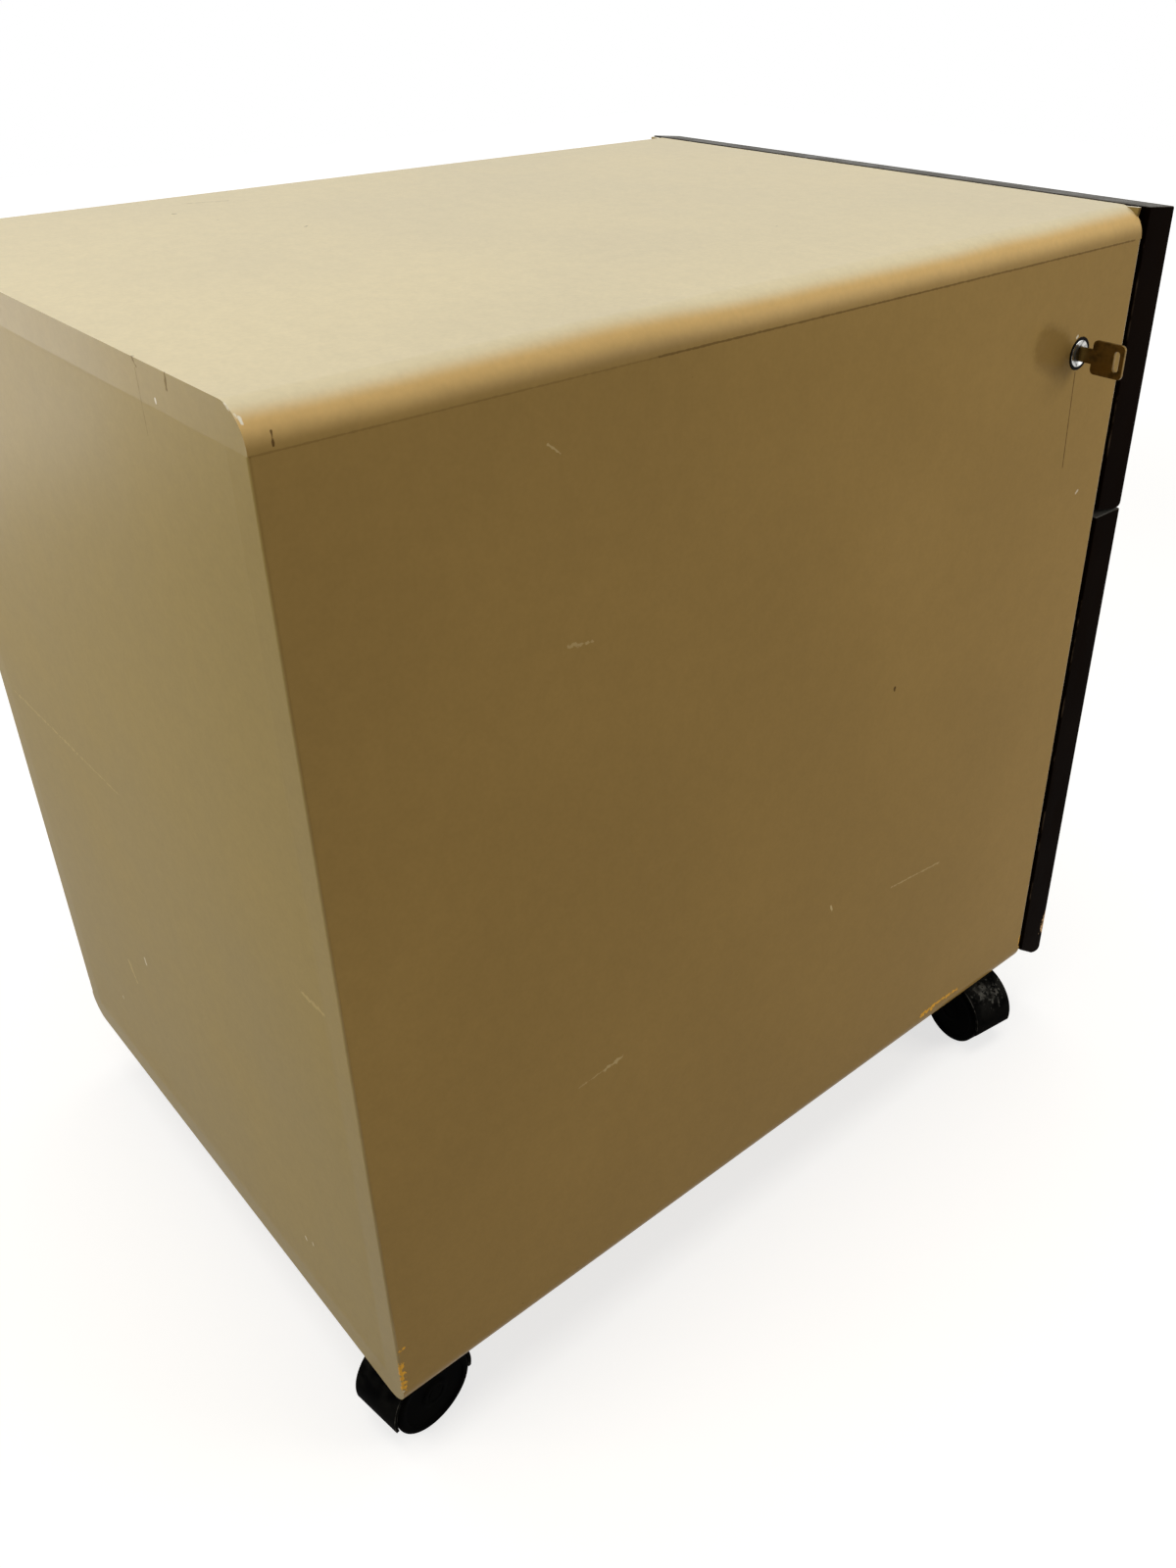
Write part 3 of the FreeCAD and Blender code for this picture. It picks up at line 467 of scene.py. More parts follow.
@dataclass(frozen=True)
class DarkLacquer(Finish):
    """Sprayed dark brown lacquer on board, close to black, with lighter edges that are rubbed wear and a
    painted highlight.

    The face is glossy, its edges are dull and black, and what looks up carries a grey film of dust and
    painted sheen.
    """

    relief: float = 0.08
    lit: str = "#140C06"
    # Grey on what faces up: dust and a painted sheen.
    dust_and_sheen: str = "#6B6861"
    # Lighter edge colour: rubbed wear and a painted highlight.
    edges: str = "#6B5A48"
    chipped: str = "#E3B98A"
    marks: tuple[Mark, ...] = ()

    def dress(self, tree: NodeTree, place: NodeSocket) -> Sockets:
        """Add cloudiness, worn edges with a painted highlight, dust with a painted sheen, finger smears,
        chips and orange peel.
        """
        cloud = add(tree, "TexNoise", {"Vector": place, "Scale": per(60), "Detail": 4.0})
        colour = tinted(tree, self.base, self.lit, cloud, (0.35, 0.7), (0.0, 0.6))
        # Lighter edges: rubbed wear and a painted highlight.
        colour = rubbed_and_highlit_edges(tree, place, colour, self.edges, (18, 6.0), (0.5, 0.7), (0.0, 0.5))[0]
        facing = add(tree, "TexCoord", out="Normal")
        up = add(tree, "SeparateXYZ", (facing,), out=2)
        # Dust and a painted sheen on what faces up.
        colour = tinted(tree, colour, self.dust_and_sheen, up, (0.5, 0.9), (0.0, 0.85))
        smear = stretched(tree, place, (16, 16, 40), 3.0)
        duller, glossier = self.roughness + 0.1, self.roughness - 0.06
        rough = add(tree, "MapRange", (smear, 0.35, 0.65, glossier, duller), **SMOOTH)
        depth = add(tree, "TexNoise", {"Vector": place, "Scale": per(1.5), "Detail": 2.0})
        tints = {Trace.CHIP: self.chipped}
        colour, depth, rough = scarred(tree, place, self.marks, tints, (colour, depth, rough))
        front = add(tree, "SeparateXYZ", (facing,), out=1)
        gloss = add(tree, "MapRange", (front, -0.9, -0.5, self.coat, 0.0), **SMOOTH)
        return {"Base Color": colour, "Roughness": rough, "Height": depth, "Coat Weight": gloss}


@dataclass(frozen=True)
class Plywood(Finish):
    """Birch plywood under clear lacquer: long grain on the faces, stripes of ply on the edges."""

    relief: float = 0.1
    across: int = 0
    late: str = "#B98E5E"
    ply_pale: str = "#C9A272"
    ply_dark: str = "#8E6338"
    ply: float = 1.5

    def dress(self, tree: NodeTree, place: NodeSocket) -> Sockets:
        """Add grain along the plank, flecks and the plies of its edges."""
        long_way = (0.9, 150.0, 7.0) if self.across == 0 else (150.0, 0.9, 7.0)
        grain = stretched(tree, place, long_way, 4.0)
        colour = tinted(tree, self.base, self.late, grain, (0.35, 0.68), (0.0, 0.8))
        blush = add(tree, "TexNoise", {"Vector": place, "Scale": per(110), "Detail": 2.0})
        colour = toned(tree, colour, blush, (0.93, 1.04))
        facing = add(tree, "TexCoord", out="Normal")
        flat = add(tree, "SeparateXYZ", (facing,), out=self.across)
        flat = add(tree, "Math", (flat,), operation="ABSOLUTE")
        depth = add(tree, "SeparateXYZ", (place,), out=self.across)
        turns = add(tree, "Math", (depth, math.pi * per(self.ply)), operation="MULTIPLY")
        wave = add(tree, "Math", (turns,), operation="SINE")
        edge = tinted(tree, self.ply_pale, self.ply_dark, wave, (-0.3, 0.3), (0.0, 1.0))
        colour = tinted(tree, colour, edge, flat, (0.5, 0.8), (1.0, 0.0))
        duller, glossier = self.roughness + 0.1, self.roughness - 0.05
        rough = add(tree, "MapRange", (grain, *NOISE, glossier, duller), **SMOOTH)
        return {"Base Color": colour, "Roughness": rough, "Height": grain}


@dataclass(frozen=True)
class PressedBoard(Finish):
    """Board of pressed chips or fibres, cut and left bare."""

    relief: float = 0.25
    relief_depth: float = 0.2
    late: str = "#8A6238"
    grain: float = 2.2

    def dress(self, tree: NodeTree, place: NodeSocket) -> Sockets:
        """Add chips of the board's grain size and the pits between them."""
        cells = {"Vector": place, "Scale": per(self.grain)}
        chips = add(tree, "TexVoronoi", cells, out="Color")
        tone = add(tree, "SeparateXYZ", (chips,), out=0)
        colour = add(tree, "Mix", {0: tone, 6: self.base, 7: self.late}, **TINT)
        fine = add(tree, "TexNoise", {"Vector": place, "Scale": per(0.6), "Detail": 4.0})
        colour = toned(tree, colour, fine, (0.88, 1.1))
        pits = add(tree, "TexVoronoi", cells)
        duller, glossier = self.roughness + 0.08, self.roughness - 0.05
        rough = add(tree, "MapRange", (fine, *NOISE, glossier, duller), **SMOOTH)
        return {"Base Color": colour, "Roughness": rough, "Height": pits}


@dataclass(frozen=True)
class Moulding(Finish):
    """Black moulded plastic with a fine grain, dust on what faces up and rubbed grey edges."""

    relief: float = 0.15
    dust: str = "#8B887E"
    dusty: float = 0.12
    grain: float = 0.7
    marks: tuple[Mark, ...] = ()

    def dress(self, tree: NodeTree, place: NodeSocket) -> Sockets:
        """Add settled dust, worn edges, scuffs and grain."""
        facing = add(tree, "TexCoord", out="Normal")
        up = add(tree, "SeparateXYZ", (facing,), out=2)
        cloud = add(tree, "TexNoise", {"Vector": place, "Scale": per(12), "Detail": 6.0})
        level = add(tree, "MapRange", (up, 0.1, 0.9, 0.25, 1.0), **SMOOTH)
        settled = add(tree, "MapRange", (cloud, 0.38, 0.66, 0.0, self.dusty), **SMOOTH)
        lying = add(tree, "Math", (level, settled), operation="MULTIPLY")
        colour = add(tree, "Mix", {0: lying, 6: self.base, 7: self.dust}, **TINT)
        colour, rub = rubbed_and_highlit_edges(tree, place, colour, self.dust, (5, 5.0), (0.42, 0.62), (0.05, 0.55))
        mask = marks_mask(tree, place, self.marks, Trace.PALE)
        if mask is not None:
            patchy = add(tree, "MapRange", (rub, 0.4, 0.66, 0.1, 1.0), **SMOOTH)
            scuffs = add(tree, "Math", (mask, patchy), operation="MULTIPLY")
            colour = add(tree, "Mix", {0: scuffs, 6: colour, 7: self.dust}, **TINT)
        fine = add(tree, "TexNoise", {"Vector": place, "Scale": per(self.grain), "Detail": 3.0})
        duller, glossier = self.roughness + 0.12, self.roughness - 0.06
        rough = add(tree, "MapRange", (cloud, *NOISE, glossier, duller), **SMOOTH)
        return {"Base Color": colour, "Roughness": rough, "Height": fine}


@dataclass(frozen=True)
class PlatedMetal(Finish):
    """Plated or bare metal: cloudy brightness, fine scratches and darker spots of tarnish, which on the
    chrome also paint dark reflections.
    """

    metallic: float = 1.0
    relief: float = 0.05
    relief_depth: float = 0.05
    # Tarnish colour, which on the chrome also paints a dark reflection.
    tarnish_and_dark_reflection: str = "#5C5648"
    tarnished: float = 0.25
    grain: Point = (0.5, 30.0, 0.5)
    cloud: float = 12.0

    def dress(self, tree: NodeTree, place: NodeSocket) -> Sockets:
        """Add tarnish, which on the chrome is also a painted dark reflection, grain lines and uneven gloss.
        """
        cloud = add(tree, "TexNoise", {"Vector": place, "Scale": per(self.cloud), "Detail": 6.0})
        rub_and_highlight = add(tree, "Attribute", out="Fac", attribute_name="rub_and_highlight")
        colour = tinted(tree, self.base, self.tarnish_and_dark_reflection, cloud, (0.42, 0.72), (0.0, self.tarnished))
        lines = stretched(tree, place, self.grain, 3.0)
        colour = toned(tree, colour, lines, (0.93, 1.05))
        bright = add(tree, "Math", (rub_and_highlight, 0.5), operation="MULTIPLY")
        colour = add(tree, "Mix", {0: bright, 6: colour, 7: self.base}, **TINT)
        drawn = add(tree, "MapRange", (lines, *NOISE, 0.0, 0.08), **SMOOTH)
        patchy = add(tree, "MapRange", (cloud, *NOISE, self.roughness, self.roughness + 0.12), **SMOOTH)
        rough = add(tree, "Math", (drawn, patchy), operation="ADD")
        return {"Base Color": colour, "Roughness": rough, "Height": lines}


# Marks seen on the cabinet, from its middle at floor level

SIDE_X = -190.1
BACK_Y = 277.6

SEAM_MARKS = tuple(Mark.flat(0, SIDE_X, *row) for row in (
    (Trace.DARK, (277.5, 569, 100, 569), 0.8, 0.25, 0.25),
    (Trace.DARK, (100, 569, -246, 569), 1.0, 0.55, 0.25),
))

LEFT_MARKS = SEAM_MARKS + tuple(Mark.flat(0, SIDE_X, *row) for row in (
    (Trace.PALE, (157, 546, 151, 541), 0.9, 0.45),
    (Trace.PALE, (151, 457.5, 138, 455), 1.5, 0.35, 0.8),
    (Trace.PALE, (156, 205, 140, 206.5), 0.9, 0.3, 0.8),
    (Trace.PALE, (138, 206.5, 127, 208), 1.9, 0.5, 0.8),
    (Trace.PALE, (-33.5, 223, -34.5, 219), 1.5, 0.8),
    (Trace.PALE, (-90, 208.4, -137, 204.2), 1.0, 0.4, 0.7),
    (Trace.BARE, (-204.1, 524.6, -203.2, 524.0), 1.6, 0.8, 0.2),
    (Trace.BARE, (-228.0, 428.9, -229.4, 429.8), 1.5, 0.55, 0.3),
    (Trace.DARK, (-73.5, 354.5, -73.5, 353.0), 1.8, 0.9, 0.3),
    (Trace.DARK, (-206.8, 504.3, -209.1, 449.1), 0.9, 0.75, 0.12),
    # A dull stain left of the lock, drawn darker as the key's painted reflection on the glossy side.
    (Trace.DARK, (-176.0, 523.5, -187.0, 518.0), 26.0, 0.33, 0.05),
    (Trace.CHIP, (-140.3, 72.6, -153, 73.4), 3.4, 1.0, 0.6),
    (Trace.CHIP, (-151, 74.6, -177.2, 73.6), 2.2, 1.0, 0.7),
    (Trace.CHIP, (-251.6, 81.5, -251.9, 72.0), 2.6, 1.0, 0.5),
)) + (
    Mark(Trace.CHIP, (-190.6, 277.2, 101.7), (-190.2, 274.0, 103.2), 2.2, 1.0, 0.6),
    Mark(Trace.CHIP, (-190.8, 277.5, 92.0), (-190.4, 276.9, 73.0), 3.4, 1.0, 0.8),
)

TOP_MARKS = SEAM_MARKS + (
    Mark(Trace.DARK, (-188.8, 267.6, 575.3), (-190.0, 268.1, 570.9), 1.0, 0.85, 0.3),
    # White bare chips at the back corner of the nosing, also drawn as the glint there: partly painted
    # highlight.
    Mark(Trace.BARE, (-179.0, 277.6, 584.2), (-185.0, 276.8, 580.7), 1.0, 0.8, 0.3),
    Mark(Trace.BARE, (-185.0, 276.2, 580.7), (-186.6, 276.2, 579.0), 1.4, 1.0, 0.3),
    Mark(Trace.DARK, (200.6, 103.3, 584.4), (200.4, 90.0, 584.4), 1.0, 0.5),
    Mark(Trace.DARK, (152.5, 145.6, 585), (152.5, 143.2, 585), 1.6, 0.5),
    Mark(Trace.DARK, (178.9, 127.6, 585), (171, 104, 585), 0.8, 0.35),
    Mark(Trace.DARK, (72, 110, 585), (72.6, 109, 585), 1.6, 0.5),
    Mark(Trace.DARK, (-106.3, 277.6, 585), (-108.7, 277.6, 582), 1.2, 0.5),
    Mark(Trace.DARK, (-134.0, 277.6, 585), (-133.4, 277.6, 579), 1.4, 0.5),
    Mark(Trace.BARE, (-120.9, 277.6, 572.6), (-120.9, 277.6, 571.4), 1.3, 0.8, 0.2),
    Mark(Trace.DARK, (-107.5, 277.6, 581), (-107.3, 277.6, 568), 0.6, 0.3),
)

BACK_MARKS = tuple(Mark.flat(1, BACK_Y, *row) for row in (
    (Trace.DARK, (-107.3, 570, -107.0, 556), 0.6, 0.3),
    (Trace.PALE, (196, 324, 88, 325), 1.2, 0.4, 0.9),
    (Trace.PALE, (88, 325, 40, 325.6), 0.9, 0.3, 0.9),
    (Trace.PALE, (-152, 317.4, -186, 318.1), 1.8, 0.4, 0.9),
    (Trace.BARE, (69.4, 195, 68.6, 191), 1.6, 0.7, 0.3),
    (Trace.PALE, (104, 171, 98, 158), 2.2, 0.5),
    (Trace.BARE, (139.8, 118.5, 139.2, 116.5), 1.6, 0.6, 0.3),
    (Trace.BARE, (-97.6, 104.5, -98.5, 102.5), 1.6, 0.9, 0.3),
    (Trace.BARE, (-106, 107.5, -106.5, 106), 1.3, 0.7, 0.3),
))

LOWER_FRONT_MARKS = (
    Mark(Trace.CHIP, (-190.4, -282.0, 88.0), (-190.1, -281.6, 80.0), 2.6, 1.0, 0.6),
    Mark(Trace.CHIP, (-190.4, -281.9, 79.5), (-190.1, -281.2, 71.0), 4.8, 1.0, 0.6),
)

HOOD_MARKS = (
    Mark(Trace.PALE, (-188, -214, 50), (-188, -246, 26), 12.0, 0.35, 0.8),
)


class Finishes:
    """Every finish of the cabinet, by the piece that wears it."""

    # Satin enamel with painted shade on what faces sideways: soft mustard with no hard glints.
    LEFT_BOARD = AgedEnamel("aged_enamel_left_side", roughness=0.3, specular=0.015, coat=0.07,
                            marks=LEFT_MARKS)
    # The same enamel with a painted light top: the eye reads a pale cream lid over mustard sides.
    TOP_BOARD = AgedEnamel("aged_enamel_top", roughness=0.38, specular=0.06, marks=TOP_MARKS)
    # The back was never handled: greener by a painted tint for its light, with a flat sheen that grows
    # towards the far corner.
    BACK_BOARD = AgedEnamel("aged_enamel_back", roughness=0.4, specular=0.035, marks=BACK_MARKS)
    # The same enamel without the photographed marks, for the side that the photo doesn't show.
    PLAIN_BOARD = AgedEnamel("aged_enamel", roughness=0.34, specular=0.03)
    # Near-black brown lacquer: the eye sees a black edge, with a grey line along the top, painted as dust and
    # sheen.
    UPPER_FRONT = DarkLacquer("dark_lacquer_upper", base="#0D0603", roughness=0.32, specular=0.002, coat=0.14)
    LOWER_FRONT = replace(UPPER_FRONT, name="dark_lacquer_lower", marks=LOWER_FRONT_MARKS)
    # Edge lipping that the sanding left square: painted on top, bare brown wood behind; its pale top is also
    # a painted highlight and its brown sides also painted shade.
    LIPPING = AgedEnamel("chipped_edge_lipping", shaded_side="#6B5327", turned="#8A6A38", lit_top="#F3E9D0",
                         roughness=0.5, specular=0.1)
    # Raw sawn board, seen only behind the fronts: coarse, dull and speckled.
    RAIL = PressedBoard("bare_chipboard", base="#C9A26B", roughness=0.75, specular=0.3)
    # Dark pressed fibre with one smooth face: an even brown floor under the fiche.
    HARDBOARD = PressedBoard("smooth_hardboard", base="#7B5636", late="#65452A", grain=0.8, roughness=0.45)
    # Turned beech: pale pegs, with so broad a stripe that none shows.
    BEECH = Plywood("plain_beech", base="#D8B183", late="#C3946A", ply=900.0, across=0, roughness=0.5)
    # Lacquered birch ply: pale, grained, with striped edges that tell it from solid wood.
    PLY_SIDES = Plywood("birch_plywood_sides", base="#DDBE91", across=0, roughness=0.4)
    PLY_ENDS = replace(PLY_SIDES, name="birch_plywood_ends", across=1)
    # Grained black plastic: a soft grey sheen that sets the pulls off from the brown-black fronts.
    PULL = Moulding("black_grained_moulding", base="#131210", roughness=0.5, dusty=0.1)
    # Dull caster plastic: a black that swallows the light, with floor dust on what faces up.
    HOOD = Moulding("dusty_black_moulding", base="#040404", roughness=0.6, dusty=0.05, specular=0.004)
    # The front caster was kicked most: a grey patch of scuffs on its hood.
    SCUFFED_HOOD = replace(HOOD, name="scuffed_black_moulding", dusty=0.06, marks=HOOD_MARKS)
    # Nylon treads, ground dull by floors: as black as the hoods, without their dust.
    WHEEL = Moulding("black_nylon", base="#030303", roughness=0.6, dusty=0.03, grain=1.1, specular=0.004)
    # Black ring of painted shade round the lock, for the seat gap and the chrome's dark edge: the dark line
    # that sets off the chrome.
    LOCK_SHADE_RING = Moulding("painted_shade_lock_ring", base="#0A0706", roughness=0.5, dusty=0.02, specular=0.02)
    # Bright zinc on folded sheet: cool grey, cloudy and lightly drawn.
    ZINC = PlatedMetal("zinc_plated_sheet", base="#B9BABB", roughness=0.32, tarnish_and_dark_reflection="#7C7B76")
    # Yellowish zinc on screw heads: small warm glints.
    SCREWS = PlatedMetal("zinc_plated_screws", base="#C4C0AE", roughness=0.28, tarnish_and_dark_reflection="#8A8368",
                         cloud=4.0)
    # Drawn bare steel: a grey axle end with brown freckles of rust.
    STEEL = PlatedMetal("bright_axle_steel", base="#A9A9A9", roughness=0.25, tarnish_and_dark_reflection="#5B5148", cloud=5.0)
    # Polished chrome, pitted by age: the one hard bright ring on the cabinet. Its heavy dark tarnish is also
    # a painted reflection of a dark room.
    CHROME = PlatedMetal("polished_chrome", base="#BDBDBB", roughness=0.12, tarnish_and_dark_reflection="#211D19",
                         tarnished=0.9, grain=(0.4, 0.4, 6.0), cloud=3.4)
    # The plug's plating has worn to grey metal with black grease round the key.
    PLUG = PlatedMetal("dull_plated_plug", base="#4A4740", roughness=0.3, tarnish_and_dark_reflection="#17140F",
                       tarnished=0.8, cloud=2.5)
    # Old brass, brown with handling and brighter along its rim.
    KEY = PlatedMetal("worn_key_brass", base="#70582C", roughness=0.3, tarnish_and_dark_reflection="#33250F",
                      tarnished=0.85, grain=(6.0, 0.4, 0.4), cloud=5.0)
    # Sheet steel in thin grey paint: plain and duller than the zinc beside it.
    FOLLOWER = PlatedMetal("grey_sheet_steel", base="#8E908D", roughness=0.4, tarnish_and_dark_reflection="#6B6A64",
                           metallic=0.6)


# Mesh helpers

def fill_room(bm: Mesh, room: Room) -> None:
    """Add a box that fills a room.

    Args:
        bm: Mesh that takes it.
        room: The room to fill.
    """
    corners = bmesh.ops.create_cube(bm, size=1.0)["verts"]
    bmesh.ops.scale(bm, vec=room.size, verts=corners)
    bmesh.ops.translate(bm, vec=room.centre, verts=corners)


def bevel(bm: Mesh, edges: list[Edge], width: float, segments: int) -> list[Any]:
    """Round edges of a mesh, and return the new faces."""
    made = bmesh.ops.bevel(
        bm, geom=edges, offset=width, offset_type="OFFSET", segments=segments,
        profile=0.5, affect="EDGES", material=-1, clamp_overlap=True,
    )
    return made["faces"]


def ease(
    bm: Mesh, width: float, chosen: Callable[[Edge], bool] = lambda edge: True,
    segments: int = 3, wear: float = 1.0,
) -> None:
    """Ease sharp outer edges, and note in the layer rub_and_highlight where hands and feet rub them and where
    a painted highlight goes.

    Args:
        bm: Mesh to change.
        width: How far the rounding reaches along each face.
        chosen: Test for the edges to take.
        segments: Faces across the rounding.
        wear: How much these edges are rubbed, and how strong their painted highlight is.
    """
    layer = bm.verts.layers.float.get("rub_and_highlight") or bm.verts.layers.float.new("rub_and_highlight")
    edges = [
        edge for edge in bm.edges
        if len(edge.link_faces) == 2 and edge.is_convex
        and math.degrees(edge.calc_face_angle(0.0)) > SHARP_TURN and chosen(edge)
    ]
    if not edges:
        return
    strip = set(bevel(bm, edges, width, segments))
    for face in strip:
        for vert in face.verts:
            if all(near in strip for near in vert.link_faces):
                vert[layer] = wear


def turned(bm: Mesh, chain: list[Vector], closed: bool, centre: Vector, axis: Vector, steps: int) -> None:
    """Spin a chain of points round an axis.

    Args:
        bm: Mesh that takes it.
        chain: The points, in order.
        closed: Whether the last point joins the first.
        centre: A point on the axis.
        axis: Direction of the axis.
        steps: Faces round the axis.
    """
    verts = [bm.verts.new(point) for point in chain]
    edges = [bm.edges.new((verts[i - 1], verts[i])) for i in range(0 if closed else 1, len(verts))]
    bmesh.ops.spin(
        bm, geom=verts + edges, cent=centre, axis=axis, dvec=(0, 0, 0),
        angle=math.tau, steps=steps, use_merge=True, use_duplicate=False,
    )


def middle(edge: Edge) -> Vector:
    """Middle of an edge."""
    return (edge.verts[0].co + edge.verts[1].co) / 2


def along(edge: Edge, axis: int) -> bool:
    """Whether an edge runs along an axis."""
    run = edge.verts[1].co - edge.verts[0].co
    return abs(run[axis]) > 0.99 * run.length


def cad_copy(node: str) -> Mesh:
    """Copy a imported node, join its triangles and merge those that lie in one plane.

    Args:
        node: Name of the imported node.

    Returns:
        A new mesh in millimetres.
    """
    bm = bmesh.new()
    bm.from_mesh(frame["nodes"][node].data)
    bmesh.ops.scale(bm, vec=Vector((1, 1, 1)) / MM, verts=bm.verts)
    bmesh.ops.remove_doubles(bm, verts=bm.verts, dist=NEAR / 5)
    bmesh.ops.dissolve_limit(
        bm, angle_limit=math.radians(FLAT_TURN), verts=bm.verts, edges=bm.edges,
        use_dissolve_boundaries=False,
    )
    return bm


def piece(
    name: str, bm: Mesh, finish: Finish, body: str,
    stands_for: tuple[str, ...] = (), smooth: float = 32.0,
) -> None:
    """Turn a mesh into a finished piece of the cabinet.

    Args:
        name: Name of the piece.
        bm: Its mesh in millimetres, which is freed.
        finish: Its finish.
        body: Body that it rides on.
        stands_for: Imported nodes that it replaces.
        smooth: Least turn in degrees that stays a sharp edge.
    """
    bmesh.ops.remove_doubles(bm, verts=bm.verts, dist=NEAR / 10)
    bmesh.ops.recalc_face_normals(bm, faces=bm.faces)
    bmesh.ops.scale(bm, vec=Vector((MM, MM, MM)), verts=bm.verts)
    mesh = bpy.data.meshes.new(name)
    bm.to_mesh(mesh)
    bm.free()
    mesh.shade_smooth()
    mesh.set_sharp_from_angle(angle=math.radians(smooth))
    made = bpy.data.objects.new(name, mesh)
    bpy.context.scene.collection.objects.link(made)
    mesh.materials.append(finish.material())
    weighted = made.modifiers.new("even_faces", "WEIGHTED_NORMAL")
    weighted.keep_sharp = True
    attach(made, body)
    if stands_for:
        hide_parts(*stands_for)
    LOG.info("%s: %d faces on %s", name, len(mesh.polygons), body)


def eased_copy(name: str, node: str, finish: Finish, body: str, width: float,
               chosen: Callable[[Edge], bool] = lambda edge: True, segments: int = 3) -> None:
    """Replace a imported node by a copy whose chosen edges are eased."""
    bm = cad_copy(node)
    ease(bm, width, chosen, segments)
    piece(name, bm, finish, body, (node,))


def paint_node(node: str, finish: Finish) -> None:
    """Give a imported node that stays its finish."""
    made = frame["nodes"][node]
    if not made.material_slots:
        made.data.materials.append(finish.material())
    for place in made.material_slots:
        place.material = finish.material()
    LOG.info("%s keeps its shape, finish %s", node, finish.name)


# Carcass

@dataclass
class Carcass:
    """Painted boards: rounded top and bottom, two sides and a flush back."""

    edge_ease: float = 1.3
    inner_lip: float = 0.35
    round_segments: int = 14
    # Share of rub and painted highlight on the eased edges of the front and back ends.
    front_wear: float = 1.0
    back_wear: float = 0.15
    lipping: float = 2.2
    lipping_reach: float = 3.6
    paint_film: float = 0.3

    def build(self) -> None:
        """Make the outer boards and dress what stays."""
        self.cover("top_board", "top_panel", Finishes.TOP_BOARD, 1)
        self.cover("bottom_board", "bottom_panel", Finishes.LEFT_BOARD, -1)
        self.side("left_board", "left_side_panel", Finishes.LEFT_BOARD, -1)
        self.side("right_board", "right_side_panel", Finishes.PLAIN_BOARD, 1)
        self.square_corners()
        paint_node("back_panel", Finishes.BACK_BOARD)
        paint_node("middle_rail", Finishes.RAIL)
        paint_node("carcass_dowels", Finishes.BEECH)
        paint_node("carcass_screws", Finishes.SCREWS)
        paint_node("lock_bar_guides", Finishes.ZINC)

    def cover(self, name: str, node: str, finish: Finish, way: int) -> None:
        """Make the top or bottom board, its long edges rounded over its whole thickness.

        Args:
            name: Name of the new piece.
            node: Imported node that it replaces.
            finish: Its paint.
            way: 1 where the flat outside faces up, -1 where it faces down.
        """
        room = Room.of(node)
        bm = bmesh.new()
        fill_room(bm, room)
        outer_z = room.high.z if way > 0 else room.low.z
        inner_z = room.low.z if way > 0 else room.high.z
        long_edges = [
            edge for edge in bm.edges
            if along(edge, 1) and abs(middle(edge).z - outer_z) < self.inner_lip
        ]
        bevel(bm, long_edges, room.size.z - self.inner_lip, self.round_segments)

        def outer_rim(edge: Edge) -> bool:
            """Edges round an end face, apart from the seam against the inner boards."""
            return not along(edge, 1) and abs(middle(edge).z - inner_z) > self.inner_lip

        self.ease_ends(bm, room, outer_rim)
        piece(name, bm, finish, "carcass", (node,))

    def ease_ends(self, bm: Mesh, room: Room, chosen: Callable[[Edge], bool]) -> None:
        """Ease the chosen edges of a board's front end, which is rubbed most and has the strongest painted
        highlight, and then of its back end.
        """
        for y, wear in ((room.low.y, self.front_wear), (room.high.y, self.back_wear)):
            ease(bm, self.edge_ease, lambda edge: abs(middle(edge).y - y) < NEAR and chosen(edge),
                 wear=wear)

    def side(self, name: str, node: str, finish: Finish, way: int) -> None:
        """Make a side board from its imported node, with its upright edges eased.

        Args:
            name: Name of the new piece.
            node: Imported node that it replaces.
            finish: Its paint.
            way: -1 for the left board, 1 for the right one.
        """
        room = Room.of(node)
        outer_x = room.high.x if way > 0 else room.low.x
        bm = cad_copy(node)

        def upright(edge: Edge) -> bool:
            """Upright outer edges."""
            return along(edge, 2) and all(abs(vert.co.x - outer_x) < NEAR for vert in edge.verts)

        self.ease_ends(bm, room, upright)
        piece(name, bm, finish, "carcass", (node,))

    def square_corners(self) -> None:
        """Leave the corners of the top's front lipping square, where the rounding stops short of them."""
        room = Room.of("top_panel")
        radius = room.size.z
        top = room.high.z - self.paint_film
        bm = bmesh.new()
        for side in (-1, 1):
            edge_x = room.high.x if side > 0 else room.low.x
            turn = Vector((edge_x - side * radius, room.low.y + self.edge_ease, room.low.z))
            corners = [bm.verts.new((edge_x - side * self.lipping_reach, turn.y, top))]
            for angle in (12, 24, 36, 48):
                way = math.radians(angle)
                reach = Vector((side * math.sin(way), 0, math.cos(way))) * (radius - self.paint_film)
                corners.insert(0, bm.verts.new(turn + reach))
            face = bm.faces.new(corners)
            grown = bmesh.ops.extrude_face_region(bm, geom=[face])["geom"]
            moved = [item for item in grown if isinstance(item, Vert)]
            bmesh.ops.translate(bm, vec=Vector((0, -self.lipping, 0)), verts=moved)
        piece("top_lipping_corners", bm, Finishes.LIPPING, "carcass", smooth=30.0)


# Drawers

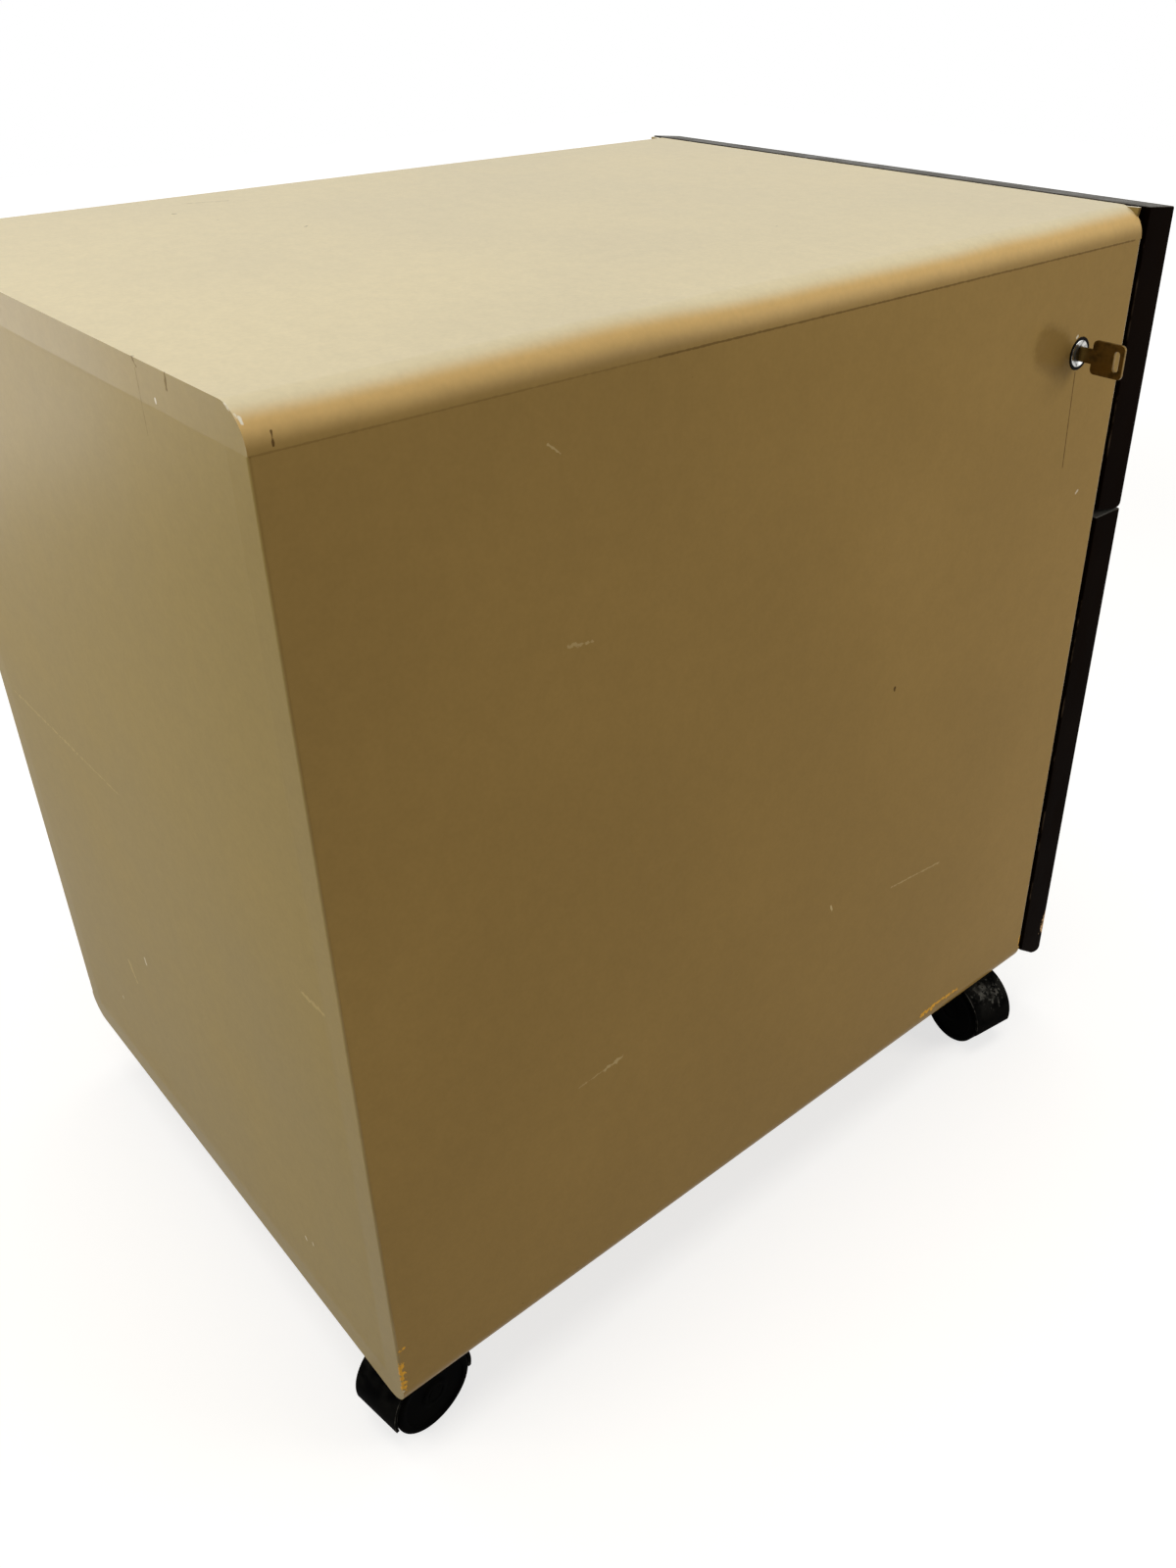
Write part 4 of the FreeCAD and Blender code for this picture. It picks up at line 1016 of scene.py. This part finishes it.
@dataclass
class DrawerFront:
    """Dark front board: a section of straight runs and rounded turns, swept across the cabinet."""

    tier: Tier
    upper_top_slant: float = 2.6
    upper_sweep: float = 4.0
    lower_sweep: float = 13.0
    flat: float = 8.0
    turn_radius: float = 12.0
    nose_radius: float = 3.5
    turn_segments: int = 10
    side_ease: float = 0.9

    def section(self, room: Room) -> list[tuple[float, float]]:
        """Corners of the section in Y and Z, from the top of the back face round to its foot."""
        y_out, y_in = room.low.y, room.high.y
        upper = self.tier is Tier.UPPER
        slant = self.upper_top_slant if upper else 0.0
        sweep = self.upper_sweep if upper else self.lower_sweep
        return [(y_in, room.high.z), (y_out, room.high.z - slant), (y_out, room.low.z),
                (y_out + self.flat, room.low.z), (y_in, room.low.z + sweep)]

    def turns(self, room: Room) -> list[tuple[float, float, float]]:
        """Y, Z and reach of each large rounding of the section."""
        sweep = self.upper_sweep if self.tier is Tier.UPPER else self.lower_sweep
        angle = math.atan2(sweep, room.size.y - self.flat)
        reach = self.turn_radius * math.tan(angle / 2)
        return [(room.low.y + self.flat, room.low.z, reach), (room.low.y, room.low.z, self.nose_radius)]

    def build(self, finish: Finish) -> None:
        """Make the board with the pocket for its finger pull."""
        node = self.tier.value + "_front"
        room = Room.of(node)
        tray = Room.of(self.tier.value + "_pull")
        bm = bmesh.new()
        corners = [bm.verts.new((room.low.x, y, z)) for y, z in self.section(room)]
        face = bm.faces.new(corners)
        swept = bmesh.ops.extrude_face_region(bm, geom=[face])["geom"]
        moved = [item for item in swept if isinstance(item, Vert)]
        bmesh.ops.translate(bm, vec=Vector((room.size.x, 0, 0)), verts=moved)
        bmesh.ops.recalc_face_normals(bm, faces=bm.faces)
        for y, z, reach in self.turns(room):
            found = [
                edge for edge in bm.edges
                if along(edge, 0) and abs(middle(edge).y - y) < 5 * NEAR
                and abs(middle(edge).z - z) < 5 * NEAR
            ]
            bevel(bm, found, reach, self.turn_segments)
        ease(bm, self.side_ease)
        self.sink(bm, room, tray)
        piece(node + "_board", bm, finish, self.tier.value + "_drawer", (node,))

    def sink(self, bm: Mesh, room: Room, tray: Room) -> None:
        """Sink the pocket that takes the pull's tray.

        Args:
            bm: Mesh of the board.
            room: Box of the board.
            tray: Box of the whole pull, flange included.
        """
        half_width = FingerPull.tray_width / 2
        half_height = FingerPull.tray_height / 2
        centre = tray.centre
        cuts = [
            ((centre.x + side * half_width, 0, 0), (1, 0, 0)) for side in (-1, 1)
        ] + [((0, 0, centre.z + side * half_height), (0, 0, 1)) for side in (-1, 1)]
        for spot, way in cuts:
            bmesh.ops.bisect_plane(
                bm, geom=bm.verts[:] + bm.edges[:] + bm.faces[:], dist=0.0001, plane_co=spot, plane_no=way,
            )
        mouth = [
            face for face in bm.faces
            if abs(face.calc_center_median().y - room.low.y) < NEAR
            and abs(face.calc_center_median().x - centre.x) < half_width
            and abs(face.calc_center_median().z - centre.z) < half_height
        ]
        sunk = bmesh.ops.extrude_face_region(bm, geom=mouth)["geom"]
        moved = [item for item in sunk if isinstance(item, Vert)]
        bmesh.ops.translate(bm, vec=Vector((0, tray.high.y - room.low.y, 0)), verts=moved)


@dataclass
class FingerPull:
    """Moulded finger pull: a rounded flange, a mouth with a lip above it, and a tray behind."""

    tier: Tier
    tray_width: float = 104.0
    tray_height: float = 34.0
    flange: float = 1.5
    wall: float = 2.0
    lip: float = 4.0
    corner: float = 3.2
    corner_segments: int = 6
    rim_round: float = 0.5
    draft: float = 1.0

    def stations(self, room: Room) -> list[tuple[float, float, float, float]]:
        """Y, height of the middle, width and height of each ring, from the tray's floor outwards."""
        front, back = room.low.y, room.high.y
        face = front + self.flange
        mid = room.centre.z
        inner_w, inner_h = self.tray_width - 2 * self.wall, self.tray_height - 2 * self.wall
        mouth_h = inner_h - self.lip
        mouth_mid = mid - self.lip / 2
        out_w, out_h = room.size.x, room.size.z
        edge, third = self.rim_round, self.rim_round * 0.3
        return [
            (back - self.wall, mid, inner_w - 2 * self.draft, inner_h - 2 * self.draft),
            (face + self.wall, mid, inner_w, inner_h),
            (face + self.wall, mouth_mid, inner_w, mouth_h),
            (front + edge, mouth_mid, inner_w, mouth_h),
            (front + third, mouth_mid, inner_w + 2 * third, mouth_h + 2 * third),
            (front, mouth_mid, inner_w + 2 * edge, mouth_h + 2 * edge),
            (front, mid, out_w - 2 * edge, out_h - 2 * edge),
            (front + third, mid, out_w - 2 * third, out_h - 2 * third),
            (front + edge, mid, out_w, out_h),
            (face, mid, out_w, out_h),
            (face, mid, self.tray_width, self.tray_height),
            (back, mid, self.tray_width, self.tray_height),
        ]

    def build(self, finish: Finish) -> None:
        """Make the pull ring by ring."""
        node = self.tier.value + "_pull"
        room = Room.of(node)
        bm = bmesh.new()
        stations = self.stations(room)
        y, z, width, height = stations[0]
        corners = bmesh.ops.create_grid(bm, x_segments=1, y_segments=1, size=0.5)["verts"]
        turn = Matrix.Rotation(math.radians(90), 3, "X")
        bmesh.ops.scale(bm, vec=Vector((width, height, 1)), verts=corners)
        bmesh.ops.rotate(bm, matrix=turn, verts=corners)
        bmesh.ops.translate(bm, vec=Vector((room.centre.x, y, z)), verts=corners)
        bmesh.ops.bevel(
            bm, geom=bm.verts[:], offset=self.corner, offset_type="OFFSET",
            segments=self.corner_segments,
            profile=0.5, affect="VERTICES", material=-1,
        )
        ring = [edge for edge in bm.edges if edge.is_boundary]
        for station in stations[1:]:
            ring = self.next_ring(bm, ring, room, (y, z, width, height), station)
            y, z, width, height = station
        bmesh.ops.contextual_create(bm, geom=ring)
        piece(node + "_moulding", bm, finish, self.tier.value + "_drawer", (node,),
              smooth=40.0)

    def next_ring(
        self, bm: Mesh, ring: list[Edge], room: Room,
        last: tuple[float, float, float, float], station: tuple[float, float, float, float],
    ) -> list[Edge]:
        """Draw a ring of edges out to the next station.

        Args:
            bm: Mesh of the pull.
            ring: Edges of the last ring.
            room: Box of the pull.
            last: Station of the last ring.
            station: Station of the new ring.

        Returns:
            Edges of the new ring.
        """
        grown = bmesh.ops.extrude_edge_only(bm, edges=ring)["geom"]
        verts = [item for item in grown if isinstance(item, Vert)]
        centre = Vector((room.centre.x, last[0], last[1]))
        factor = Vector((station[2] / last[2], 1, station[3] / last[3]))
        bmesh.ops.scale(bm, vec=factor, verts=verts, space=Matrix.Translation(-centre))
        bmesh.ops.translate(bm, vec=Vector((0, station[0] - last[0], station[1] - last[1])), verts=verts)
        return [item for item in grown if isinstance(item, Edge) and item.is_boundary]


@dataclass
class Drawer:
    """One drawer: dark front, pull, plywood box, slides and screws."""

    tier: Tier
    plank_ease: float = 0.8
    catch_ease: float = 0.3

    def build(self, front: Finish) -> None:
        """Make the front and pull, ease the planks and dress the rest."""
        name = self.tier.value
        DrawerFront(self.tier).build(front)
        FingerPull(self.tier).build(Finishes.PULL)
        body = name + "_drawer"
        rim = Room.of(name + "_box_left").high.z

        def at_rim(edge: Edge) -> bool:
            """Edges along the top of a plank."""
            return abs(middle(edge).z - rim) < NEAR

        for plank in ("box_left", "box_right", "box_front", "box_back"):
            finish = Finishes.PLY_SIDES if plank in ("box_left", "box_right") else Finishes.PLY_ENDS
            eased_copy(f"{name}_{plank}_plank", f"{name}_{plank}", finish, body,
                       self.plank_ease, at_rim)
        paint_node(name + "_box_bottom", Finishes.HARDBOARD)
        paint_node(name + "_front_screws", Finishes.SCREWS)
        paint_node(name + "_channel_screws", Finishes.SCREWS)
        for channel in ("cabinet", "middle", "drawer"):
            paint_node(f"{name}_{channel}_channels", Finishes.ZINC)
        eased_copy(name + "_catch_bracket", name + "_lock_catch", Finishes.ZINC, body,
                   self.catch_ease, segments=2)


@dataclass
class Interior:
    """What the drawers hold: divider, follower plates and hanging rails."""

    sheet_ease: float = 0.35

    def build(self) -> None:
        """Dress the divider and ease the sheet parts."""
        paint_node("upper_divider", Finishes.HARDBOARD)
        for side in ("left", "right"):
            eased_copy(f"{side}_follower_plate", f"upper_{side}_follower", Finishes.FOLLOWER,
                       f"{side}_follower", self.sheet_ease, segments=2)
        eased_copy("lower_hanging_rail_bars", "lower_hanging_rails", Finishes.ZINC, "lower_drawer",
                   self.sheet_ease, segments=2)


# Lock

@dataclass
class CamLock:
    """Cam lock in the left board: chromed ring, plug, key, cam and lifting bar."""

    face_dish: float = 0.45
    dish_rim: float = 7.1
    bore: float = 4.35
    barrel: float = 6.0
    flange: float = 8.0
    flange_depth: float = 1.6
    flange_round: float = 0.4
    face_edge: float = 7.35
    face_step: float = 0.6
    ring_inner: float = 7.4
    ring_outer: float = 8.9
    ring_front: float = 0.05
    ring_back: float = 0.5
    dish_floor: float = 0.5
    plug_ease: float = 0.2
    key_ease: float = 0.3
    bar_ease: float = 0.3
    steps: int = 64

    def spun(self, bm: Mesh, profile: list[tuple[float, float]], centre: Vector) -> None:
        """Spin a closed profile of depth and radius round the lock's axis.

        Args:
            bm: Mesh that takes it.
            profile: Depth along +X from the lock's face, and radius, of each corner.
            centre: Middle of the lock's face.
        """
        chain = [centre + Vector((depth, 0, radius)) for depth, radius in profile]
        turned(bm, chain, True, centre, Vector((1, 0, 0)), self.steps)

    def build(self) -> None:
        """Make the chrome face, its black ring of painted shade, plug and key, and dress the inner parts."""
        housing = Room.of("lock_housing")
        centre = Vector((housing.low.x, housing.centre.y, housing.centre.z))
        length = housing.size.x
        bm = bmesh.new()
        third = self.flange_round * 0.3
        self.spun(bm, [
            (self.face_dish, self.bore), (self.face_dish, self.bore + self.dish_floor),
            (0.0, self.dish_rim),
            (0.0, self.face_edge - self.flange_round), (third, self.face_edge - third),
            (self.face_step, self.face_edge), (self.face_step, self.flange),
            (self.flange_depth, self.flange), (self.flange_depth, self.barrel),
            (length, self.barrel), (length, self.bore),
        ], centre)
        piece("lock_ring", bm, Finishes.CHROME, "carcass", ("lock_housing",), smooth=40.0)

        # A black ring in the seat round the flange: painted shade for the gap there and the chrome's dark
        # edge.
        bm = bmesh.new()
        self.spun(bm, [
            (self.ring_front, self.ring_inner), (self.ring_front, self.ring_outer),
            (self.ring_back, self.ring_outer), (self.ring_back, self.ring_inner),
        ], centre)
        piece("lock_shade_ring", bm, Finishes.LOCK_SHADE_RING, "carcass", smooth=40.0)

        eased_copy("lock_plug_face", "lock_plug", Finishes.PLUG, "lock_core",
                   self.plug_ease, segments=2)
        eased_copy("cut_key", "lock_key", Finishes.KEY, "lock_core", self.key_ease)
        paint_node("lock_nut", Finishes.ZINC)
        paint_node("lock_cam", Finishes.ZINC)
        paint_node("lock_cam_screw", Finishes.SCREWS)
        eased_copy("lifting_bar", "lock_bar", Finishes.ZINC, "lock_bar",
                   self.bar_ease, segments=2)


# Casters

@dataclass
class Caster:
    """Hooded swivel caster with two wheels."""

    corner: Corner
    hood_ease: float = 0.5
    tread_round: float = 2.2
    inner_round: float = 1.0
    rim: float = 4.6
    dish: float = 1.0
    hub: float = 8.4
    cap: float = 5.2
    web: float = 12.0
    side_gap: float = 0.5
    steps: int = 72

    def build(self) -> None:
        """Make the hood and wheels and dress the axle."""
        name = "caster_" + self.corner.value
        hood_finish = Finishes.SCUFFED_HOOD if self.corner is Corner.FRONT_LEFT else Finishes.HOOD
        eased_copy(name + "_cover", name + "_hood", hood_finish, name + "_swivel",
                   self.hood_ease, segments=2)
        paint_node(name + "_axle", Finishes.STEEL)
        self.wheels(name)

    def profile(self, radius: float, width: float) -> list[tuple[float, float]]:
        """Half section of a wheel: distance from the inner face and radius, from axis to axis."""
        arc = [math.radians(15 * i) for i in range(7)]
        inner = [
            (self.inner_round * (1 - math.sin(a)), radius - self.inner_round * (1 - math.cos(a)))
            for a in reversed(arc)
        ]
        outer = [
            (width - self.tread_round * (1 - math.sin(a)), radius - self.tread_round * (1 - math.cos(a)))
            for a in arc
        ]
        edge = radius - self.rim
        return [(0.0, 0.0)] + inner + outer + [
            (width, edge + 0.6), (width - 0.3, edge), (width - self.dish, edge - 0.5),
            (width - self.dish, self.hub + 1.0), (width - 0.4, self.hub), (width, self.hub - 0.6),
            (width, self.cap + 0.5), (width - 0.35, self.cap), (width - 0.35, self.cap - 0.6),
            (width, self.cap - 1.0), (width, 0.0),
        ]

    def wheels(self, name: str) -> None:
        """Make the pair of wheels about the axle's own line.

        Args:
            name: Start of the caster's node names.
        """
        joint = next(j for j in frame["joints"] if j["name"] == self.corner.value + "_roll")
        axis = Vector(joint["axis"]).normalized()
        room = Room.of(name + "_wheels")
        centre = room.centre
        radius = room.size.z / 2
        flat = math.sqrt(axis.x ** 2 + axis.y ** 2)
        span = self.axle_span(name, axis) / flat
        width = (span - self.web) / 2 - self.side_gap
        bm = bmesh.new()
        for side in (-1, 1):
            way = axis * side
            start = centre + way * (self.web / 2 + self.side_gap)
            chain = [start + way * x + Vector((0, 0, r)) for x, r in self.profile(radius, width)]
            turned(bm, chain, False, centre, axis, self.steps)
        piece(name + "_tyres", bm, Finishes.WHEEL, name + "_wheels", (name + "_wheels",),
              smooth=40.0)

    def axle_span(self, name: str, axis: Vector) -> float:
        """Distance between the outer faces of the two wheels, along the axle."""
        node = frame["nodes"][name + "_wheels"]
        reach = [vert.co.dot(axis) / MM for vert in node.data.vertices]
        return max(reach) - min(reach)


@dataclass
class Undercarriage:
    """Four casters and the plates that carry them."""

    def build(self) -> None:
        """Make the casters and dress their plates."""
        for corner in Corner:
            Caster(corner).build()
        paint_node("caster_plates", Finishes.ZINC)
        paint_node("caster_plate_screws", Finishes.SCREWS)


# Studio

@dataclass
class Studio:
    """Pale floor, soft overhead light, three weaker lights and the camera of the photo."""

    floor_size: float = 9000.0
    eye: Point = (-591.5, 455.3, 714.6)
    heading: float = -41.366
    tilt: float = -30.937
    roll: float = -0.270
    focal: float = 30.84
    sensor: float = 36.0
    nearest: float = 0.01
    shift: Span = (-0.0442, -0.0309)
    ambient: float = 0.15
    floor_colour: str = "#B9B6B0"
    fade: Span = (1.2, 3.0)
    near_glow: float = 0.7

    def build(self) -> None:
        """Set up floor, lights, world, camera and the view transform."""
        bpy.context.scene.view_settings.view_transform = "Standard"
        self.floor()
        self.world()
        self.lamp("overhead_softbox", (0, -200, 3600), (0, 0, 500), 2600, 62.0)
        self.lamp("back_fill", (100, 1050, 900), (0, 280, 400), 700, 4.2)
        self.lamp("right_window", (1600, 640, 300), (100, 280, 450), 700, 5.0)
        self.lamp("front_window", (-1400, -1050, 850), (-190, -100, 350), 900, 9.6)
        self.camera()

    def floor(self) -> None:
        """Pale floor that reads white to the camera and keeps the cabinet's shadow."""
        bm = bmesh.new()
        bmesh.ops.create_grid(bm, x_segments=1, y_segments=1, size=self.floor_size / 2 * MM)
        mesh = bpy.data.meshes.new("studio_floor")
        bm.to_mesh(mesh)
        bm.free()
        floor = bpy.data.objects.new("studio_floor", mesh)
        bpy.context.scene.collection.objects.link(floor)
        material = bpy.data.materials.new("matt_white_floor")
        material.use_nodes = True
        tree = material.node_tree
        tree.nodes.clear()
        seen = self.seen_rays(tree)
        matt = add(tree, "BsdfDiffuse", {"Color": self.floor_colour})
        place = add(tree, "TexCoord", out="Object")
        away = add(tree, "VectorMath", (place,), out="Value", operation="LENGTH")
        strength = add(tree, "MapRange", (away, *self.fade, self.near_glow, 1.0), **SMOOTH)
        glow = add(tree, "Emission", {"Color": WHITE, "Strength": strength})
        both = add(tree, "AddShader", (matt, glow))
        whole = add(tree, "MixShader", (seen, matt, both))
        add(tree, "OutputMaterial", {"Surface": whole})
        mesh.materials.append(material)

    def world(self) -> None:
        """White surround for the eye and for gloss, softer for everything else."""
        world = bpy.data.worlds.new("white_studio")
        bpy.context.scene.world = world
        world.use_nodes = True
        tree = world.node_tree
        tree.nodes.clear()
        strength = add(tree, "MapRange", (self.seen_rays(tree), 0.0, 1.0, self.ambient, 1.0), **SMOOTH)
        light = add(tree, "Background", {"Color": WHITE, "Strength": strength})
        add(tree, "OutputWorld", {"Surface": light})

    def seen_rays(self, tree: NodeTree) -> NodeSocket:
        """Light path's rays that show the background: to the eye, and by gloss or glass."""
        seen = add(tree, "LightPath", out="Is Camera Ray")
        rays = seen.node.outputs
        for other in ("Is Glossy Ray", "Is Transmission Ray"):
            seen = add(tree, "Math", (seen, rays[other]), operation="MAXIMUM")
        return seen

    def lamp(self, name: str, place: Point, target: Point, size: float, power: float) -> None:
        """Hang a square soft light.

        Args:
            name: Its name.
            place: Its middle, in millimetres.
            target: Where it points.
            size: Its side, in millimetres.
            power: Its power in watts.
        """
        light = bpy.data.lights.new(name, "AREA")
        light.shape = "SQUARE"
        light.size = size * MM
        light.energy = power
        made = bpy.data.objects.new(name, light)
        made.location = Vector(place) * MM
        way = Vector(target) - Vector(place)
        made.rotation_euler = way.to_track_quat("-Z", "Y").to_euler()
        made.visible_camera = False
        bpy.context.scene.collection.objects.link(made)

    def camera(self) -> None:
        """Stand the camera where the photographer stood."""
        lens = bpy.data.cameras.new("photo_camera")
        lens.sensor_width = self.sensor
        lens.lens = self.focal
        lens.shift_x, lens.shift_y = self.shift
        lens.clip_start = self.nearest
        camera = bpy.data.objects.new("photo_camera", lens)
        turn = (
            Matrix.Rotation(math.radians(self.heading - 90), 4, "Z")
            @ Matrix.Rotation(math.radians(90 + self.tilt), 4, "X")
            @ Matrix.Rotation(math.radians(self.roll), 4, "Z")
        )
        camera.matrix_world = Matrix.Translation(Vector(self.eye) * MM) @ turn
        bpy.context.scene.collection.objects.link(camera)
        bpy.context.scene.camera = camera


def main() -> None:
    """Build the studio and every part of the cabinet, in order."""
    logging.basicConfig(level=logging.INFO, format="%(name)s: %(message)s")
    Studio().build()
    Carcass().build()
    Drawer(Tier.UPPER).build(Finishes.UPPER_FRONT)
    Drawer(Tier.LOWER).build(Finishes.LOWER_FRONT)
    Interior().build()
    CamLock().build()
    Undercarriage().build()


if __name__ == "__main__":
    main()
